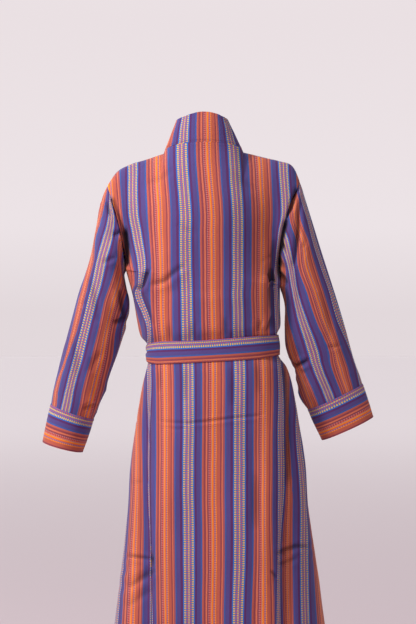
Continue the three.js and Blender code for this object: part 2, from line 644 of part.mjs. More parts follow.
function makeBody() {
  const back = backGrid();
  const fronts = { left: frontGrid(1), right: frontGrid(-1) };
  const line = collarLine(back, fronts.left, fronts.right);
  const collar = line.map((place) => bandShares.map((share) => bandPoint(place, share)));
  const backNormals = gridNormals(back, -1);
  const leftNormals = gridNormals(fronts.left, -1);
  const rightNormals = gridNormals(fronts.right, 1);
  const collarNormals = gridNormals(collar, -1);
  for (let i = 0; i <= lastRow; i += 1) {
    const v = yokeHeight(i);
    if (i < underRow) {
      meetNormals({ normals: backNormals, i, j: 0 }, { normals: rightNormals, i, j: 0 });
      meetNormals({ normals: backNormals, i, j: backColumns }, { normals: leftNormals, i, j: 0 });
    } else {
      backNormals[i][0] = armholeNormal(armholes.right, v, 1);
      backNormals[i][backColumns] = armholeNormal(armholes.left, v, 1);
      leftNormals[i][0] = armholeNormal(armholes.left, v, -1);
      rightNormals[i][0] = armholeNormal(armholes.right, v, -1);
    }
    meetNormals({ normals: leftNormals, i, j: frontColumns }, { normals: collarNormals, i, j: 0 });
    const mirrored = line.length - 1 - i;
    meetNormals({ normals: rightNormals, i, j: frontColumns }, { normals: collarNormals, i: mirrored, j: 0 });
  }
  for (let j = 0; j <= shoulderColumns; j += 1) {
    backNormals[lastRow][j] = shoulderNormal(shoulderSeams.right, 1 - j / shoulderColumns);
    backNormals[lastRow][backColumns - j] = shoulderNormal(shoulderSeams.left, 1 - j / shoulderColumns);
  }
  for (let j = 0; j <= frontColumns; j += 1) {
    leftNormals[lastRow][j] = shoulderNormal(shoulderSeams.left, 1 - j / frontColumns);
    rightNormals[lastRow][j] = shoulderNormal(shoulderSeams.right, 1 - j / frontColumns);
  }
  meetNormals(
    { normals: backNormals, i: lastRow, j: backColumns - shoulderColumns },
    { normals: leftNormals, i: lastRow, j: frontColumns },
    { normals: collarNormals, i: lastRow, j: 0 },
  );
  meetNormals(
    { normals: backNormals, i: lastRow, j: shoulderColumns },
    { normals: rightNormals, i: lastRow, j: frontColumns },
    { normals: collarNormals, i: line.length - 1 - lastRow, j: 0 },
  );
  const neckColumns = backColumns - 2 * shoulderColumns;
  for (let step = 1; step < neckColumns; step += 1) {
    const j = backColumns - shoulderColumns - step;
    const nearer = step < neckColumns / 2 ? backColumns - shoulderColumns : shoulderColumns;
    const nearness = Math.max(0, 1 - Math.min(step, neckColumns - step) / 3);
    meetNormals({ normals: backNormals, i: lastRow, j }, { normals: collarNormals, i: lastRow + step, j: 0 });
    const normal = backNormals[lastRow][j].clone().lerp(backNormals[lastRow][nearer], nearness).normalize();
    backNormals[lastRow][j] = normal;
    collarNormals[lastRow + step][0] = normal.clone();
  }
  return [
    clothSolid('back', colours.body, back, -1, clothThickness, backNormals),
    clothSolid('front_left', colours.front, fronts.left, -1, clothThickness, leftNormals),
    clothSolid('front_right', colours.front, fronts.right, 1, clothThickness, rightNormals),
    clothSolid('collar_band', colours.collar, collar, -1, bandThickness, collarNormals, collarOpening),
  ];
}

// ---------- sleeves and cuffs: tubes of rings whose ends lie in the seams' planes ----------
function sleeveFold(folds, degrees, share) {
  let depth = 0;
  for (const fold of folds) {
    if (share < fold.start || share > fold.end) continue;
    const along = (share - fold.start) / (fold.end - fold.start);
    const turn = ((degrees - lerp(fold.from, fold.to, along) + 540) % 360) - 180;
    depth += fold.depth * Math.sin(Math.PI * along) * Math.exp(-((turn / fold.width) ** 2));
  }
  return depth;
}

// One ring: inset moves it into the cloth, along slides it along the sleeve
function tubeRing(section, inset, along, foldAt) {
  const outX = section.outX - section.inX;
  const outZ = section.outZ - section.inZ;
  const length = Math.hypot(outX, outZ);
  const across = new THREE.Vector3(outX / length, 0, outZ / length);
  const down = new THREE.Vector3(across.z, 0, -across.x).multiplyScalar(Math.sign(outX));
  const centreX = (section.outX + section.inX) / 2;
  const centre = new THREE.Vector3(centreX, section.y, (section.outZ + section.inZ) / 2);
  const ring = [];
  for (let j = 0; j < sleeveSides; j += 1) {
    const turn = (2 * Math.PI * j) / sleeveSides;
    const sine = Math.sin(turn);
    const depth = sine > 0 ? section.back : section.front;
    const fold = foldAt(turn / radians(1)) - inset;
    const point = centre.clone().addScaledVector(across, (length / 2 + fold) * Math.cos(turn));
    point.y += (depth + fold) * sine;
    point.x -= Math.sign(outX) * (section.bow ?? 0) * sine * sine;
    ring.push(point.addScaledVector(down, along));
  }
  return ring;
}

function makeSleeve(name, sideName) {
  const sections = sleeveSections[sideName];
  const layers = [0, clothThickness].map((inset) => Array.from({ length: sleeveRings + 1 }, (_, i) => {
    const share = (i / sleeveRings) ** 1.1;
    const section = splineRow(sections, share * (sections.length - 1));
    const along = i === 0 ? seamGap : 0;
    return tubeRing(section, inset, along, (degrees) => sleeveFold(sleeveFolds[sideName], degrees, share));
  }));
  const facing = sideName === 'left' ? -1 : 1;
  return namedMesh(name, colours.sleeve, wallGeometry(layers[0], layers[1], facing, true));
}

function makeCuff(name, sideName) {
  const sections = sleeveSections[sideName];
  const ends = [{ ...sections[sections.length - 1] }, { ...cuffEnds[sideName], bow: 0 }];
  const layers = [-cuffStandOff, bandThickness - cuffStandOff].map((inset) => cuffShares.map((share) => {
    const section = splineRow(ends, share);
    return tubeRing(section, inset, share === 0 ? seamGap : 0, () => 0);
  }));
  const facing = sideName === 'left' ? -1 : 1;
  return namedMesh(name, colours.cuff, wallGeometry(layers[0], layers[1], facing, true));
}

// ---------- belt ----------
function beltLift(x, z, middle) {
  const uncovered = frontEdgeX(1, middle, z) - bandWidth;
  return Math.min(layerLift(1, x, z, middle), overlapLift * smoothStep(uncovered - 45, uncovered - 10, x));
}

function beltPoint(level, degrees, out) {
  const ring = splineRow(bodyRings, level);
  const flat = bodyPoint(level, degrees);
  const lift = flat.y < 0 ? beltLift(flat.x, ringHeight(ring), ringMiddle(ring)) : 0;
  return bodyPoint(level, degrees, lift + beltClearance + out);
}

function makeBelt() {
  const levels = [beltBottomRing, beltTopRing];
  const layers = [bandThickness, 0].map((out) => levels.map((level) => {
    const row = [];
    for (let j = 0; j < beltColumns; j += 1) row.push(beltPoint(level, -180 + (360 * j) / beltColumns, out));
    return row;
  }));
  return namedMesh('belt_wrap', colours.belt, wallGeometry(layers[0], layers[1], -1, true));
}

function placeKnot() {
  const lower = beltPoint(beltBottomRing, 180, bandThickness);
  const upper = beltPoint(beltTopRing, 180, bandThickness);
  const y = Math.min(lower.y, upper.y) - seamGap - knotSize.depth / 2;
  return new THREE.Vector3((lower.x + upper.x) / 2, y, (lower.z + upper.z) / 2);
}

const knotCentre = placeKnot();

function makeKnot() {
  const geometry = new THREE.SphereGeometry(1, 24, 16);
  const position = geometry.attributes.position;
  const power = 2 / knotRoundness;
  for (let i = 0; i < position.count; i += 1) {
    const direction = new THREE.Vector3().fromBufferAttribute(position, i);
    const rim = Math.hypot(direction.x, direction.z) || 1;
    const wide = signedPower(direction.x / rim, power) * rim ** power;
    const deep = signedPower(direction.z / rim, power) * rim ** power;
    const high = signedPower(direction.y, power);
    const y = (-deep * knotSize.depth) / 2;
    position.setXYZ(i, (wide * knotSize.width) / 2, y, (high * knotSize.height) / 2);
  }
  geometry.translate(knotCentre.x, knotCentre.y, knotCentre.z);
  return namedMesh('belt_knot', colours.belt, geometry);
}

// The ring level of the body at a height in front
function levelAtHeight(z) {
  let low = 0;
  let high = topRing;
  for (let i = 0; i < 40; i += 1) {
    const middle = (low + high) / 2;
    if (ringHeight(splineRow(bodyRings, middle)) < z) low = middle;
    else high = middle;
  }
  return (low + high) / 2;
}

// A belt end: gathered at the knot, widening, falling back against the skirt
function makeBeltEnd(name, side) {
  const layers = [bandThickness, 0].map((out) => {
    const grid = [];
    for (let i = 0; i <= beltEnd.rows; i += 1) {
      const run = (beltEnd.length * i) / beltEnd.rows;
      const opening = smoothStep(0, beltEnd.gather, run);
      const width = lerp(beltEnd.topWidth, beltEnd.width, opening);
      const centreX = side * (width / 2 + 1 + (beltEnd.spread * run) / beltEnd.length);
      const row = [];
      for (let j = 0; j <= beltEnd.columns; j += 1) {
        const offset = centreX + width * (j / beltEnd.columns - 0.5);
        const z = knotCentre.z - knotSize.height / 2 - seamGap - run;
        const onSkirt = frontPointAtX(levelAtHeight(z), knotCentre.x + offset, 1);
        const y = lerp(knotCentre.y + bandThickness / 2, onSkirt.y - beltEnd.clearance, opening) - out;
        row.push(new THREE.Vector3(knotCentre.x + offset, y, z));
      }
      grid.push(row);
    }
    return grid;
  });
  return namedMesh(name, colours.belt, wallGeometry(layers[0], layers[1], -1));
}

const kimono = new THREE.Group();
kimono.add(...makeBody());
kimono.add(makeSleeve('sleeve_left', 'left'), makeSleeve('sleeve_right', 'right'));
kimono.add(makeCuff('cuff_left', 'left'), makeCuff('cuff_right', 'right'));
kimono.add(makeBelt(), makeKnot(), makeBeltEnd('belt_end_left', 1), makeBeltEnd('belt_end_right', -1));

export default kimono;
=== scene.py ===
import math
import bpy
import numpy as np
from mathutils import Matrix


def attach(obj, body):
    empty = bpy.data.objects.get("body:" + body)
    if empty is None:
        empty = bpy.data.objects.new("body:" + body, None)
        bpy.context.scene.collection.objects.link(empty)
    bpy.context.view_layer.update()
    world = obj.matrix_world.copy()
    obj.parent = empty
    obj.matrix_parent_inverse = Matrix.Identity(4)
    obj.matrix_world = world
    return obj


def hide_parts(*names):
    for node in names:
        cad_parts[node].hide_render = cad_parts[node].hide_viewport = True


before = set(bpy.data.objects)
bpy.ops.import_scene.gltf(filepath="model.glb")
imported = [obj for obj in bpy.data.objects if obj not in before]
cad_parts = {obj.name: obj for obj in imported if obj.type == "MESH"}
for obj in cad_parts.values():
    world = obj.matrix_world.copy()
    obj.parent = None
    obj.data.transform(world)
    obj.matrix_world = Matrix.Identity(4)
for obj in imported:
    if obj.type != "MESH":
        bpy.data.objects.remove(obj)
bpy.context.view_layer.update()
print("frame loaded")

# the camera stands behind the garment, a little above its waist
viewer = dict(x=-9, y=3200, z=-382, frameHeight=1404, sensor=36)
cameraData = bpy.data.cameras.new("camera")
cameraData.sensor_fit = "VERTICAL"
cameraData.sensor_height = viewer["sensor"]
cameraData.lens = viewer["sensor"] * viewer["y"] / viewer["frameHeight"]
camera = bpy.data.objects.new("camera", cameraData)
camera.location = (viewer["x"] / 1000, viewer["y"] / 1000, viewer["z"] / 1000)
camera.rotation_euler = (math.pi / 2, 0, math.pi)
bpy.context.scene.collection.objects.link(camera)
bpy.context.scene.camera = camera
print("camera ready")

# Everything below is worked out in millimetres, +Z up, the wearer facing -Y, and goes into metres
# when a mesh is made. The forms are those of the solids, with a finer grid.


def table(columns, rows):
    values = np.array(rows, float)
    return {name: values[:, i] for i, name in enumerate(columns.split())}


def smooth(low, high, value):
    t = np.clip((value - low) / (high - low), 0, 1)
    return t * t * (3 - 2 * t)


def mix(a, b, t):
    return a + (b - a) * t


def signedPower(value, power):
    return np.sign(value) * np.abs(value) ** power


# one column of a table at fractional rows, smooth through the rows
def spline(rows, name, position):
    values = rows[name]
    last = len(values) - 1
    position = np.clip(np.asarray(position, float), 0, last)
    i = np.clip(np.floor(position).astype(int), 0, last - 1)
    t = position - i
    p1, p2 = values[i], values[i + 1]
    p0 = np.where(i > 0, values[np.maximum(i - 1, 0)], 2 * p1 - p2)
    p3 = np.where(i < last - 1, values[np.minimum(i + 2, last)], 2 * p2 - p1)
    m1, m2 = (p2 - p0) / 2, (p3 - p1) / 2
    t2, t3 = t * t, t * t * t
    return (2 * t3 - 3 * t2 + 1) * p1 + (t3 - 2 * t2 + t) * m1 + (3 * t2 - 2 * t3) * p2 + (t3 - t2) * m2


def splineRow(rows, position):
    return {name: spline(rows, name, position) for name in rows}


# a table with falling z, read at a height
def atHeight(rows, name, z):
    return np.interp(-np.asarray(z, float), -rows["z"], rows[name])


def unit(vectors):
    return vectors / np.maximum(np.linalg.norm(vectors, axis=-1, keepdims=True), 1e-9)


# the length along a line of points, up to each of them
def lengthsAlong(points):
    return np.concatenate([[0], np.cumsum(np.linalg.norm(np.diff(points, axis=0), axis=-1))])


# the same along each row of a grid
def rowLengths(grid):
    steps = np.linalg.norm(np.diff(grid, axis=1), axis=-1)
    return np.concatenate([np.zeros((len(grid), 1)), np.cumsum(steps, 1)], 1)


def addObject(name, data):
    made = bpy.data.objects.new(name, data)
    bpy.context.scene.collection.objects.link(made)
    return made


hands = {1: "left", -1: "right"}

bodyRings = table("leftX leftZ rightX rightZ back front round leftSeam rightSeam", [
    (225, -1300, -297, -1300, 168, 166, 2.1, 35, 30),
    (200, -1075, -270, -1075, 156, 153, 2.1, 40, 35),
    (186, -965, -256, -965, 149, 146, 2.1, 43.5, 38),
    (171, -823, -235, -823, 140, 137, 2.15, 47.5, 45.5),
    (163, -708, -226, -712, 133, 129, 2.2, 52.5, 50.5),
    (144, -578, -203, -570, 122, 118, 2.2, 62, 60),
    (131, -520, -187, -508, 112, 110, 2.25, 70, 70),
    (126, -494, -167, -478, 99, 102, 2.3, 78, 78),
    (127, -456, -164, -433, 97, 101, 2.3, 84, 84),
    (144, -430, -172, -412, 105, 108, 2.35, 88, 88),
    (157, -360, -171, -370, 109, 111, 2.4, 90, 90),
    (175, -290, -170, -322, 112, 112, 2.5, 90, 90),
])
topRing = 11
beltRings = (7, 8)
armholes = {
    1: dict(tipX=218, tipZ=-99, underX=175, underZ=-290, bow=11, back=52, front=46),
    -1: dict(tipX=-216, tipZ=-90, underX=-170, underZ=-322, bow=19, back=54, front=48),
}
shoulderSeams = {
    1: table("x z", [(90, -25), (130, -39), (166, -50), (196, -67), (218, -99)]),
    -1: table("x z", [(-88, -22), (-130, -33), (-168, -42), (-198, -53), (-216, -90)]),
}
frontEdges = table("z offset", [
    (-25, 89), (-90, 92), (-150, 90), (-220, 78), (-300, 52), (-380, 18), (-450, -20), (-520, -40),
    (-800, -50), (-1300, -58),
])
collarStands = table("z leftIn rightIn back up", [
    (0, 0, 0, -8, 68), (-6, 0, 0, -8, 68), (-6.5, 1, 2, -8, 65), (-7.8, 5, 9, -8, 61), (-10, 10, 17, -7, 60),
    (-24, 33, 47, -4, 60),
    (-60, 54, 58, -22, 42), (-105, 63, 64, -16, 27), (-165, 66, 66, -10, 22), (-306, 66, 66, -3, 22),
    (-400, 68, 68, 0, 0), (-1300, 70, 70, 0, 0),
])
bodyCut = dict(neckHalfWidth=89, neckDepth=60, bandWidth=70, overlapLift=5, overlapStart=-60,
               overlapFull=-180, overlapFar=45, overlapNear=10, yokeSwell=8, napeDrop=6,
               shoulderShare=8 / 28, hem=-1300)

# large folds round the body: degrees at top and bottom, heights, half width in degrees, depth
turnedFolds = [
    (125, 122, -560, -1320, 12, 7), (147, 145, -520, -1320, 10, -5), (-128, -124, -560, -1320, 12, 7),
    (-150, -146, -540, -1320, 10, -5), (62, 70, -250, -440, 8, -6), (45, 48, -300, -445, 11, 6),
    (-60, -64, -270, -425, 8, -5), (0, 0, -330, -445, 22, 5),
]
# folds that hang straight down the back of the skirt: x at top and bottom, heights, half width, depth
hangingFolds = [
    (134, 127, -505, -1320, 12, -16), (-193, -176, -495, -1320, 13, -18), (84, 78, -560, -1320, 24, 4),
    (-142, -136, -540, -1320, 20, 5), (-112, -108, -600, -1320, 14, -3), (-22, -20, -520, -1320, 44, -4),
]


def foldDepth(degrees, z):
    depth = 0
    for top, bottom, zTop, zBottom, width, size in turnedFolds:
        along = (zTop - z) / (zTop - zBottom)
        off = (degrees - mix(top, bottom, along)) / width
        fade = smooth(0, 0.25, along) * (1 if zBottom < bodyCut["hem"] else smooth(1, 0.75, along))
        depth = depth + np.where((along >= 0) & (along <= 1), size * fade * np.exp(-off * off), 0)
    return depth


# facing is 1 at the middle of the back and 0 at the side line
def hangingDepth(x, facing, z):
    depth = 0
    for xTop, xBottom, zTop, zBottom, width, size in hangingFolds:
        along = (zTop - z) / (zTop - zBottom)
        off = (x - mix(xTop, xBottom, along)) / width
        depth = depth + size * smooth(0, 0.2, along) * np.exp(-off * off)
    return depth * smooth(0, 0.3, facing)


def ringMiddle(ring):
    return (ring["leftX"] + ring["rightX"]) / 2


def ringHeight(ring):
    return (ring["leftZ"] + ring["rightZ"]) / 2


def bodyPoint(level, degrees, lift=0.0):
    ring = splineRow(bodyRings, level)
    degrees = np.where(degrees > 180, degrees - 360, degrees)
    half = (ring["leftX"] - ring["rightX"]) / 2
    angle = np.radians(degrees)
    sine, cosine = np.sin(angle), np.cos(angle)
    across = signedPower(sine, 2 / ring["round"])
    depth = np.where(cosine > 0, ring["back"], ring["front"])
    z = mix(ring["rightZ"], ring["leftZ"], (across + 1) / 2)
    flatX = ringMiddle(ring) + half * across
    out = foldDepth(degrees, z) + hangingDepth(flatX, cosine, z) + lift
    y = depth * signedPower(cosine, 2 / ring["round"]) + out * cosine
    return np.stack(np.broadcast_arrays(flatX + out * sine, y, z), -1)


def rise(v):
    return (1 - np.cos(np.pi * v)) / 2


def armholePoint(side, v, face):
    hole = armholes[side]
    swing = np.sin(np.pi * v)
    x = mix(hole["underX"], hole["tipX"], rise(v)) - side * hole["bow"] * swing * swing
    y = hole["back"] * swing if face > 0 else -hole["front"] * swing
    return np.stack(np.broadcast_arrays(x, y, mix(hole["underZ"], hole["tipZ"], rise(v))), -1)


def yokeFullness(up):
    drop = np.clip(1.5 * (1 - up), 0, 1)
    return (1 - (1 - drop) ** 2) ** 0.8


def yokeShape(offset, v):
    roundness = bodyRings["round"][topRing]
    root = mix(1 / roundness, 0.9, smooth(0, 0.5, v))
    return np.maximum(0, 1 - np.abs(offset) ** roundness) ** root


def shoulderPoint(side, share):
    seam = shoulderSeams[side]
    position = np.asarray(share, float) * (len(seam["x"]) - 1)
    x, z = spline(seam, "x", position), spline(seam, "z", position)
    return np.stack([x, np.zeros_like(x), z], -1)


# the back's upper edge: right shoulder, neck, left shoulder. place runs from 0 to 1.
def backTop(place):
    shoulder = bodyCut["shoulderShare"]
    neckTurn = np.pi * (1 - (place - shoulder) / (1 - 2 * shoulder))
    up = np.clip(np.sin(neckTurn), 0, 1)
    neckPointZ = np.where(np.cos(neckTurn) > 0, shoulderSeams[1]["z"][0], shoulderSeams[-1]["z"][0])
    neck = np.stack([1 + bodyCut["neckHalfWidth"] * np.cos(neckTurn), bodyCut["neckDepth"] * up,
                     neckPointZ * (1 - up) - bodyCut["napeDrop"] * up ** 2], -1)
    right = shoulderPoint(-1, np.clip(1 - place / shoulder, 0, 1))
    left = shoulderPoint(1, np.clip((place - 1 + shoulder) / shoulder, 0, 1))
    place = place[..., None]
    return np.where(place <= shoulder, right, np.where(place >= 1 - shoulder, left, neck))


# share of the way from the right shoulder's tip to the left one's
def betweenTips(x):
    right, left = armholes[-1]["tipX"], armholes[1]["tipX"]
    return (x - right) / (left - right)


def yokePoint(face, share, v, top, swell):
    up = rise(v)
    rightEdge, leftEdge = armholePoint(-1, v, face), armholePoint(1, v, face)
    place = mix(share, betweenTips(top[..., 0]), up)
    offset = 2 * place - 1
    fullness = yokeFullness(up)
    underDepth = bodyRings["back" if face > 0 else "front"][topRing]
    depth = (underDepth + swell * np.sin(np.pi * v) ** 2) * fullness
    edgeY = mix(rightEdge[..., 1], leftEdge[..., 1], place)
    x = mix(rightEdge[..., 0], leftEdge[..., 0], place)
    y = edgeY * np.abs(offset) ** mix(16, 4, v) + face * depth * yokeShape(offset, v)
    y = y + top[..., 1] * (1 - fullness) ** 2
    z = mix(mix(armholes[-1]["underZ"], armholes[1]["underZ"], share), top[..., 2], up)
    turn = np.degrees(np.arcsin(signedPower(np.clip(offset, -1, 1), bodyRings["round"][topRing] / 2)))
    degrees = turn if face > 0 else 180 - turn
    degrees = np.where(degrees > 180, degrees - 360, degrees)
    creased = np.where(v < 0.5, foldDepth(degrees, z) * (1 - 2 * v), 0)
    return np.stack(np.broadcast_arrays(x, y + face * creased, z), -1)


def frontEdgeX(side, middle, z):
    return middle + side * atHeight(frontEdges, "offset", z)


# the left front stands off the right one where it covers it
def layerLift(side, x, z, middle):
    if side < 0:
        return 0 * x
    coveredTo = frontEdgeX(-1, middle, z) + bodyCut["bandWidth"]
    near = smooth(coveredTo + bodyCut["overlapFar"], coveredTo + bodyCut["overlapNear"], x)
    return bodyCut["overlapLift"] * near * smooth(bodyCut["overlapStart"], bodyCut["overlapFull"], z)


# degrees round at which a ring crosses a given x on the front
def degreesAtX(level, x):
    ring = splineRow(bodyRings, level)
    half = (ring["leftX"] - ring["rightX"]) / 2
    across = np.clip((x - ringMiddle(ring)) / half, -0.999, 0.999)
    return 180 - np.degrees(np.arcsin(signedPower(across, ring["round"] / 2)))


gridSizes = dict(rowStep=5.5, yokeRows=60, neckRows=60, backColumns=112, frontColumns=84, collarColumns=14,
                 sleeveRings=160, sleeveSides=104, cuffRings=24, beltColumns=200, beltRows=14,
                 strapColumns=10)

fineLevels = np.linspace(0, topRing, 2000)
fineHeights = ringHeight(splineRow(bodyRings, fineLevels))
# the rows lie closer together where creases cross the cloth
creasedBands = [(-645, -585), (-1000, -870), (-345, -275)]
rowDensity = np.ones(len(fineHeights))
for low, high in creasedBands:
    rowDensity += 1.5 * smooth(low - 15, low, fineHeights) * smooth(high + 15, high, fineHeights)
rowProgress = np.concatenate([[0], np.cumsum((rowDensity[1:] + rowDensity[:-1]) / 2 * np.diff(fineHeights))])
lowerCount = int(rowProgress[-1] / gridSizes["rowStep"])
lowerLevels = np.interp(np.linspace(0, rowProgress[-1], lowerCount + 1), rowProgress, fineLevels)
yokeSteps = (np.arange(gridSizes["yokeRows"]) + 1) / gridSizes["yokeRows"]


def backGrid():
    columns = gridSizes["backColumns"]
    place = np.arange(columns + 1) / columns
    level = lowerLevels[:, None]
    seams = -spline(bodyRings, "rightSeam", level), spline(bodyRings, "leftSeam", level)
    lower = bodyPoint(level, mix(seams[0], seams[1], place[None, :]))
    sine = np.sin(np.radians(mix(-90, 90, place)))
    share = (signedPower(sine, 2 / bodyRings["round"][topRing]) + 1) / 2
    v = yokeSteps[:, None]
    top = np.broadcast_to(backTop(place)[None], (len(yokeSteps), columns + 1, 3))
    yoke = yokePoint(1, np.broadcast_to(share[None, :], top.shape[:2]), v, top, bodyCut["yokeSwell"])
    return np.concatenate([lower, yoke])


def frontGrid(side):
    columns = gridSizes["frontColumns"]
    portion = np.arange(columns + 1)[None, :] / columns
    level = lowerLevels[:, None]
    ring = splineRow(bodyRings, level)
    middle, z = ringMiddle(ring), ringHeight(ring)
    edge = degreesAtX(level, frontEdgeX(side, middle, z))
    spread = portion ** mix(1.4, 1, smooth(0, beltRings[0], level))
    seam = side * spline(bodyRings, "leftSeam" if side > 0 else "rightSeam", level)
    degrees = mix(seam, edge if side > 0 else edge - 360, spread)
    flat = bodyPoint(level, degrees)
    lower = bodyPoint(level, degrees, layerLift(side, flat[..., 0], z, middle))
    rows = [frontYokeRow(side, v, portion[0]) for v in yokeSteps]
    return np.concatenate([lower, np.stack(rows)])


def frontYokeRow(side, v, portion):
    seam = shoulderSeams[side]
    ring = {name: bodyRings[name][topRing] for name in bodyRings}
    up = rise(v)
    top = shoulderPoint(side, 1 - portion)
    if v == 1:
        return top
    edgeZ = mix(ringHeight(ring), seam["z"][0], up)
    middle = ringMiddle(ring) * (1 - up)
    edgeX = frontEdgeX(side, middle, edgeZ)
    rightX, leftX = armholePoint(-1, v, -1)[0], armholePoint(1, v, -1)[0]
    spread = np.sin(portion * np.pi / 2) ** 1.25
    x = mix(armholePoint(side, v, -1)[0], edgeX, mix(spread, portion, up))
    place = (x - rightX) / (leftX - rightX)
    row = yokePoint(-1, (place - betweenTips(top[:, 0]) * up) / (1 - up), v, top, 0)
    row[:, 2] = mix(mix(armholes[-1]["underZ"], armholes[1]["underZ"], place), top[:, 2], up)
    row[:, 1] -= layerLift(side, row[:, 0], row[:, 2], middle)
    return row


# x and z on the garment's middle plane of what the viewer sees points at
def asSeen(points):
    nearer = viewer["y"] / (viewer["y"] - points[..., 1])
    return (viewer["x"] + (points[..., 0] - viewer["x"]) * nearer,
            viewer["z"] + (points[..., 2] - viewer["z"]) * nearer)


# signed distance from points (x, z) to a line of points, with the share of its length at the nearest place
def nearLine(x, z, line):
    points = np.array(line, float)
    steps = np.diff(points, axis=0)
    lengths = np.hypot(*steps.T)
    starts = np.concatenate([[0], np.cumsum(lengths)[:-1]])
    best = np.full(x.shape, 1e9)
    signed, share = np.zeros(x.shape), np.zeros(x.shape)
    for (px, pz), (dx, dz), length, start in zip(points[:-1], steps, lengths, starts):
        t = np.clip(((x - px) * dx + (z - pz) * dz) / length ** 2, 0, 1)
        gapX, gapZ = x - px - t * dx, z - pz - t * dz
        distance = np.hypot(gapX, gapZ)
        closer = distance < best
        best = np.where(closer, distance, best)
        signed = np.where(closer, np.sign(dx * gapZ - dz * gapX) * distance, signed)
        share = np.where(closer, (start + t * length) / lengths.sum(), share)
    return signed, share


creaseStrength = 1.6


# one crease: depth of its trough (negative) or ridge, half width, and how much the cloth swells on
# its left side as one goes along the line
def creaseDepth(x, z, depth, width, swell, line):
    off, share = nearLine(x, z, line)
    taper = np.sin(np.pi * np.clip(share, 0.02, 0.98)) ** 0.5
    taper = taper * smooth(1.0, 0.9, share) * smooth(0.0, 0.1, share)
    core = creaseStrength * depth * np.exp(-(off / width) ** 2)
    shoulders = -0.35 * depth * np.exp(-((np.abs(off) - 2.1 * width) / (1.1 * width)) ** 2)
    side = swell * np.exp(-((off - 2.4 * width) / (1.8 * width)) ** 2)
    return taper * (core + shoulders + side)


# soft uneven ripples: sums of seeded waves, longer along z than across
def ripples(across, along, size, amount, seed, stretch=2.6, count=26):
    random = np.random.default_rng(seed)
    total = np.zeros(np.broadcast(across, along).shape)
    for _ in range(count):
        wave = size * random.uniform(0.6, 1.8)
        angle = random.uniform(0, np.pi)
        kx, kz = math.cos(angle) / wave, math.sin(angle) / (wave * stretch)
        height = random.uniform(0.4, 1)
        total = total + height * np.sin(2 * np.pi * (kx * across + kz * along) + random.uniform(0, 7))
    return amount * total / math.sqrt(count)


backCreases = [
    # depth, width, swell, line of x, z
    (-1.7, 3.5, 0.8, [(118, -618), (88, -629), (38, -632), (-1, -629), (-62, -621), (-115, -616),
                      (-146, -611)]),
    (-0.8, 4, 0, [(92, -640), (60, -646), (30, -641)]),
    (-2.6, 6, 2.2, [(124, -322), (104, -317), (88, -312), (72, -297), (52, -281), (38, -276)]),
    (-5.0, 5, 2.5, [(152, -336), (138, -321), (130, -300), (124, -282)]),
    (-2.5, 7, 1.5, [(138, -340), (131, -356), (124, -384), (114, -418)]),
    (-3.8, 5, 1.2, [(-146, -292), (-154, -306), (-159, -326)]),
    (-3.6, 7, 0, [(-158, -210), (-155, -260), (-152, -320), (-153, -385)]),
    (-3.6, 5, 1, [(-156, -388), (-149, -408), (-141, -428)]),
    (-2.4, 5, 0, [(-128, -398), (-124, -414), (-122, -430)]),
    (-1.4, 4, 0.8, [(-125, -269), (-138, -262), (-152, -252)]),
    (-1.6, 9, 0, [(80, -408), (78, -424), (76, -446)]),
    (-1.5, 8, 0, [(22, -402), (24, -420), (24, -446)]),
    (-1.7, 7, 0, [(-48, -392), (-50, -412), (-50, -436)]),
    (-1.4, 8, 0, [(96, -498), (100, -530), (100, -566)]),
    (-1.4, 9, 0, [(40, -500), (42, -540), (42, -590)]),
    (-1.5, 9, 0, [(-60, -494), (-64, -532), (-66, -600)]),
    (-1.4, 8, 0, [(-118, -488), (-122, -520), (-126, -570)]),
    (-2.6, 4.5, 1, [(176, -930), (139, -935), (114, -939)]),
    (-2.6, 4, 0, [(117, -922), (117, -940), (116, -958)]),
    (-2.6, 8, 1.2, [(108, -958), (130, -974), (176, -1003)]),
    (-1.6, 8, 0.8, [(112, -1000), (140, -1020), (182, -1046)]),
    (-3.0, 6, 1.5, [(-160, -930), (-182, -916), (-205, -909), (-240, -908)]),
    (-2.2, 6, 1, [(-164, -951), (-190, -940), (-214, -933)]),
    (-2.4, 4, 0, [(-151, -962), (-158, -972), (-165, -982)]),
    (-1.1, 5, 0, [(166, -768), (150, -765), (134, -764)]),
    (-1.6, 12, 0, [(-116, -740), (-119, -800), (-117, -880)]),
    (-1.0, 10, 0.6, [(70, -180), (40, -196), (6, -200)]),
    (-1.0, 12, 0.5, [(-60, -60), (-92, -92), (-130, -106)]),
    (-1.2, 10, 0.6, [(66, -52), (98, -80), (138, -92)]),
    (-1.2, 14, 0.8, [(110, -1080), (60, -1110), (10, -1118)]),
    (-1.2, 14, 0.8, [(-90, -1150), (-140, -1172), (-196, -1170)]),
]
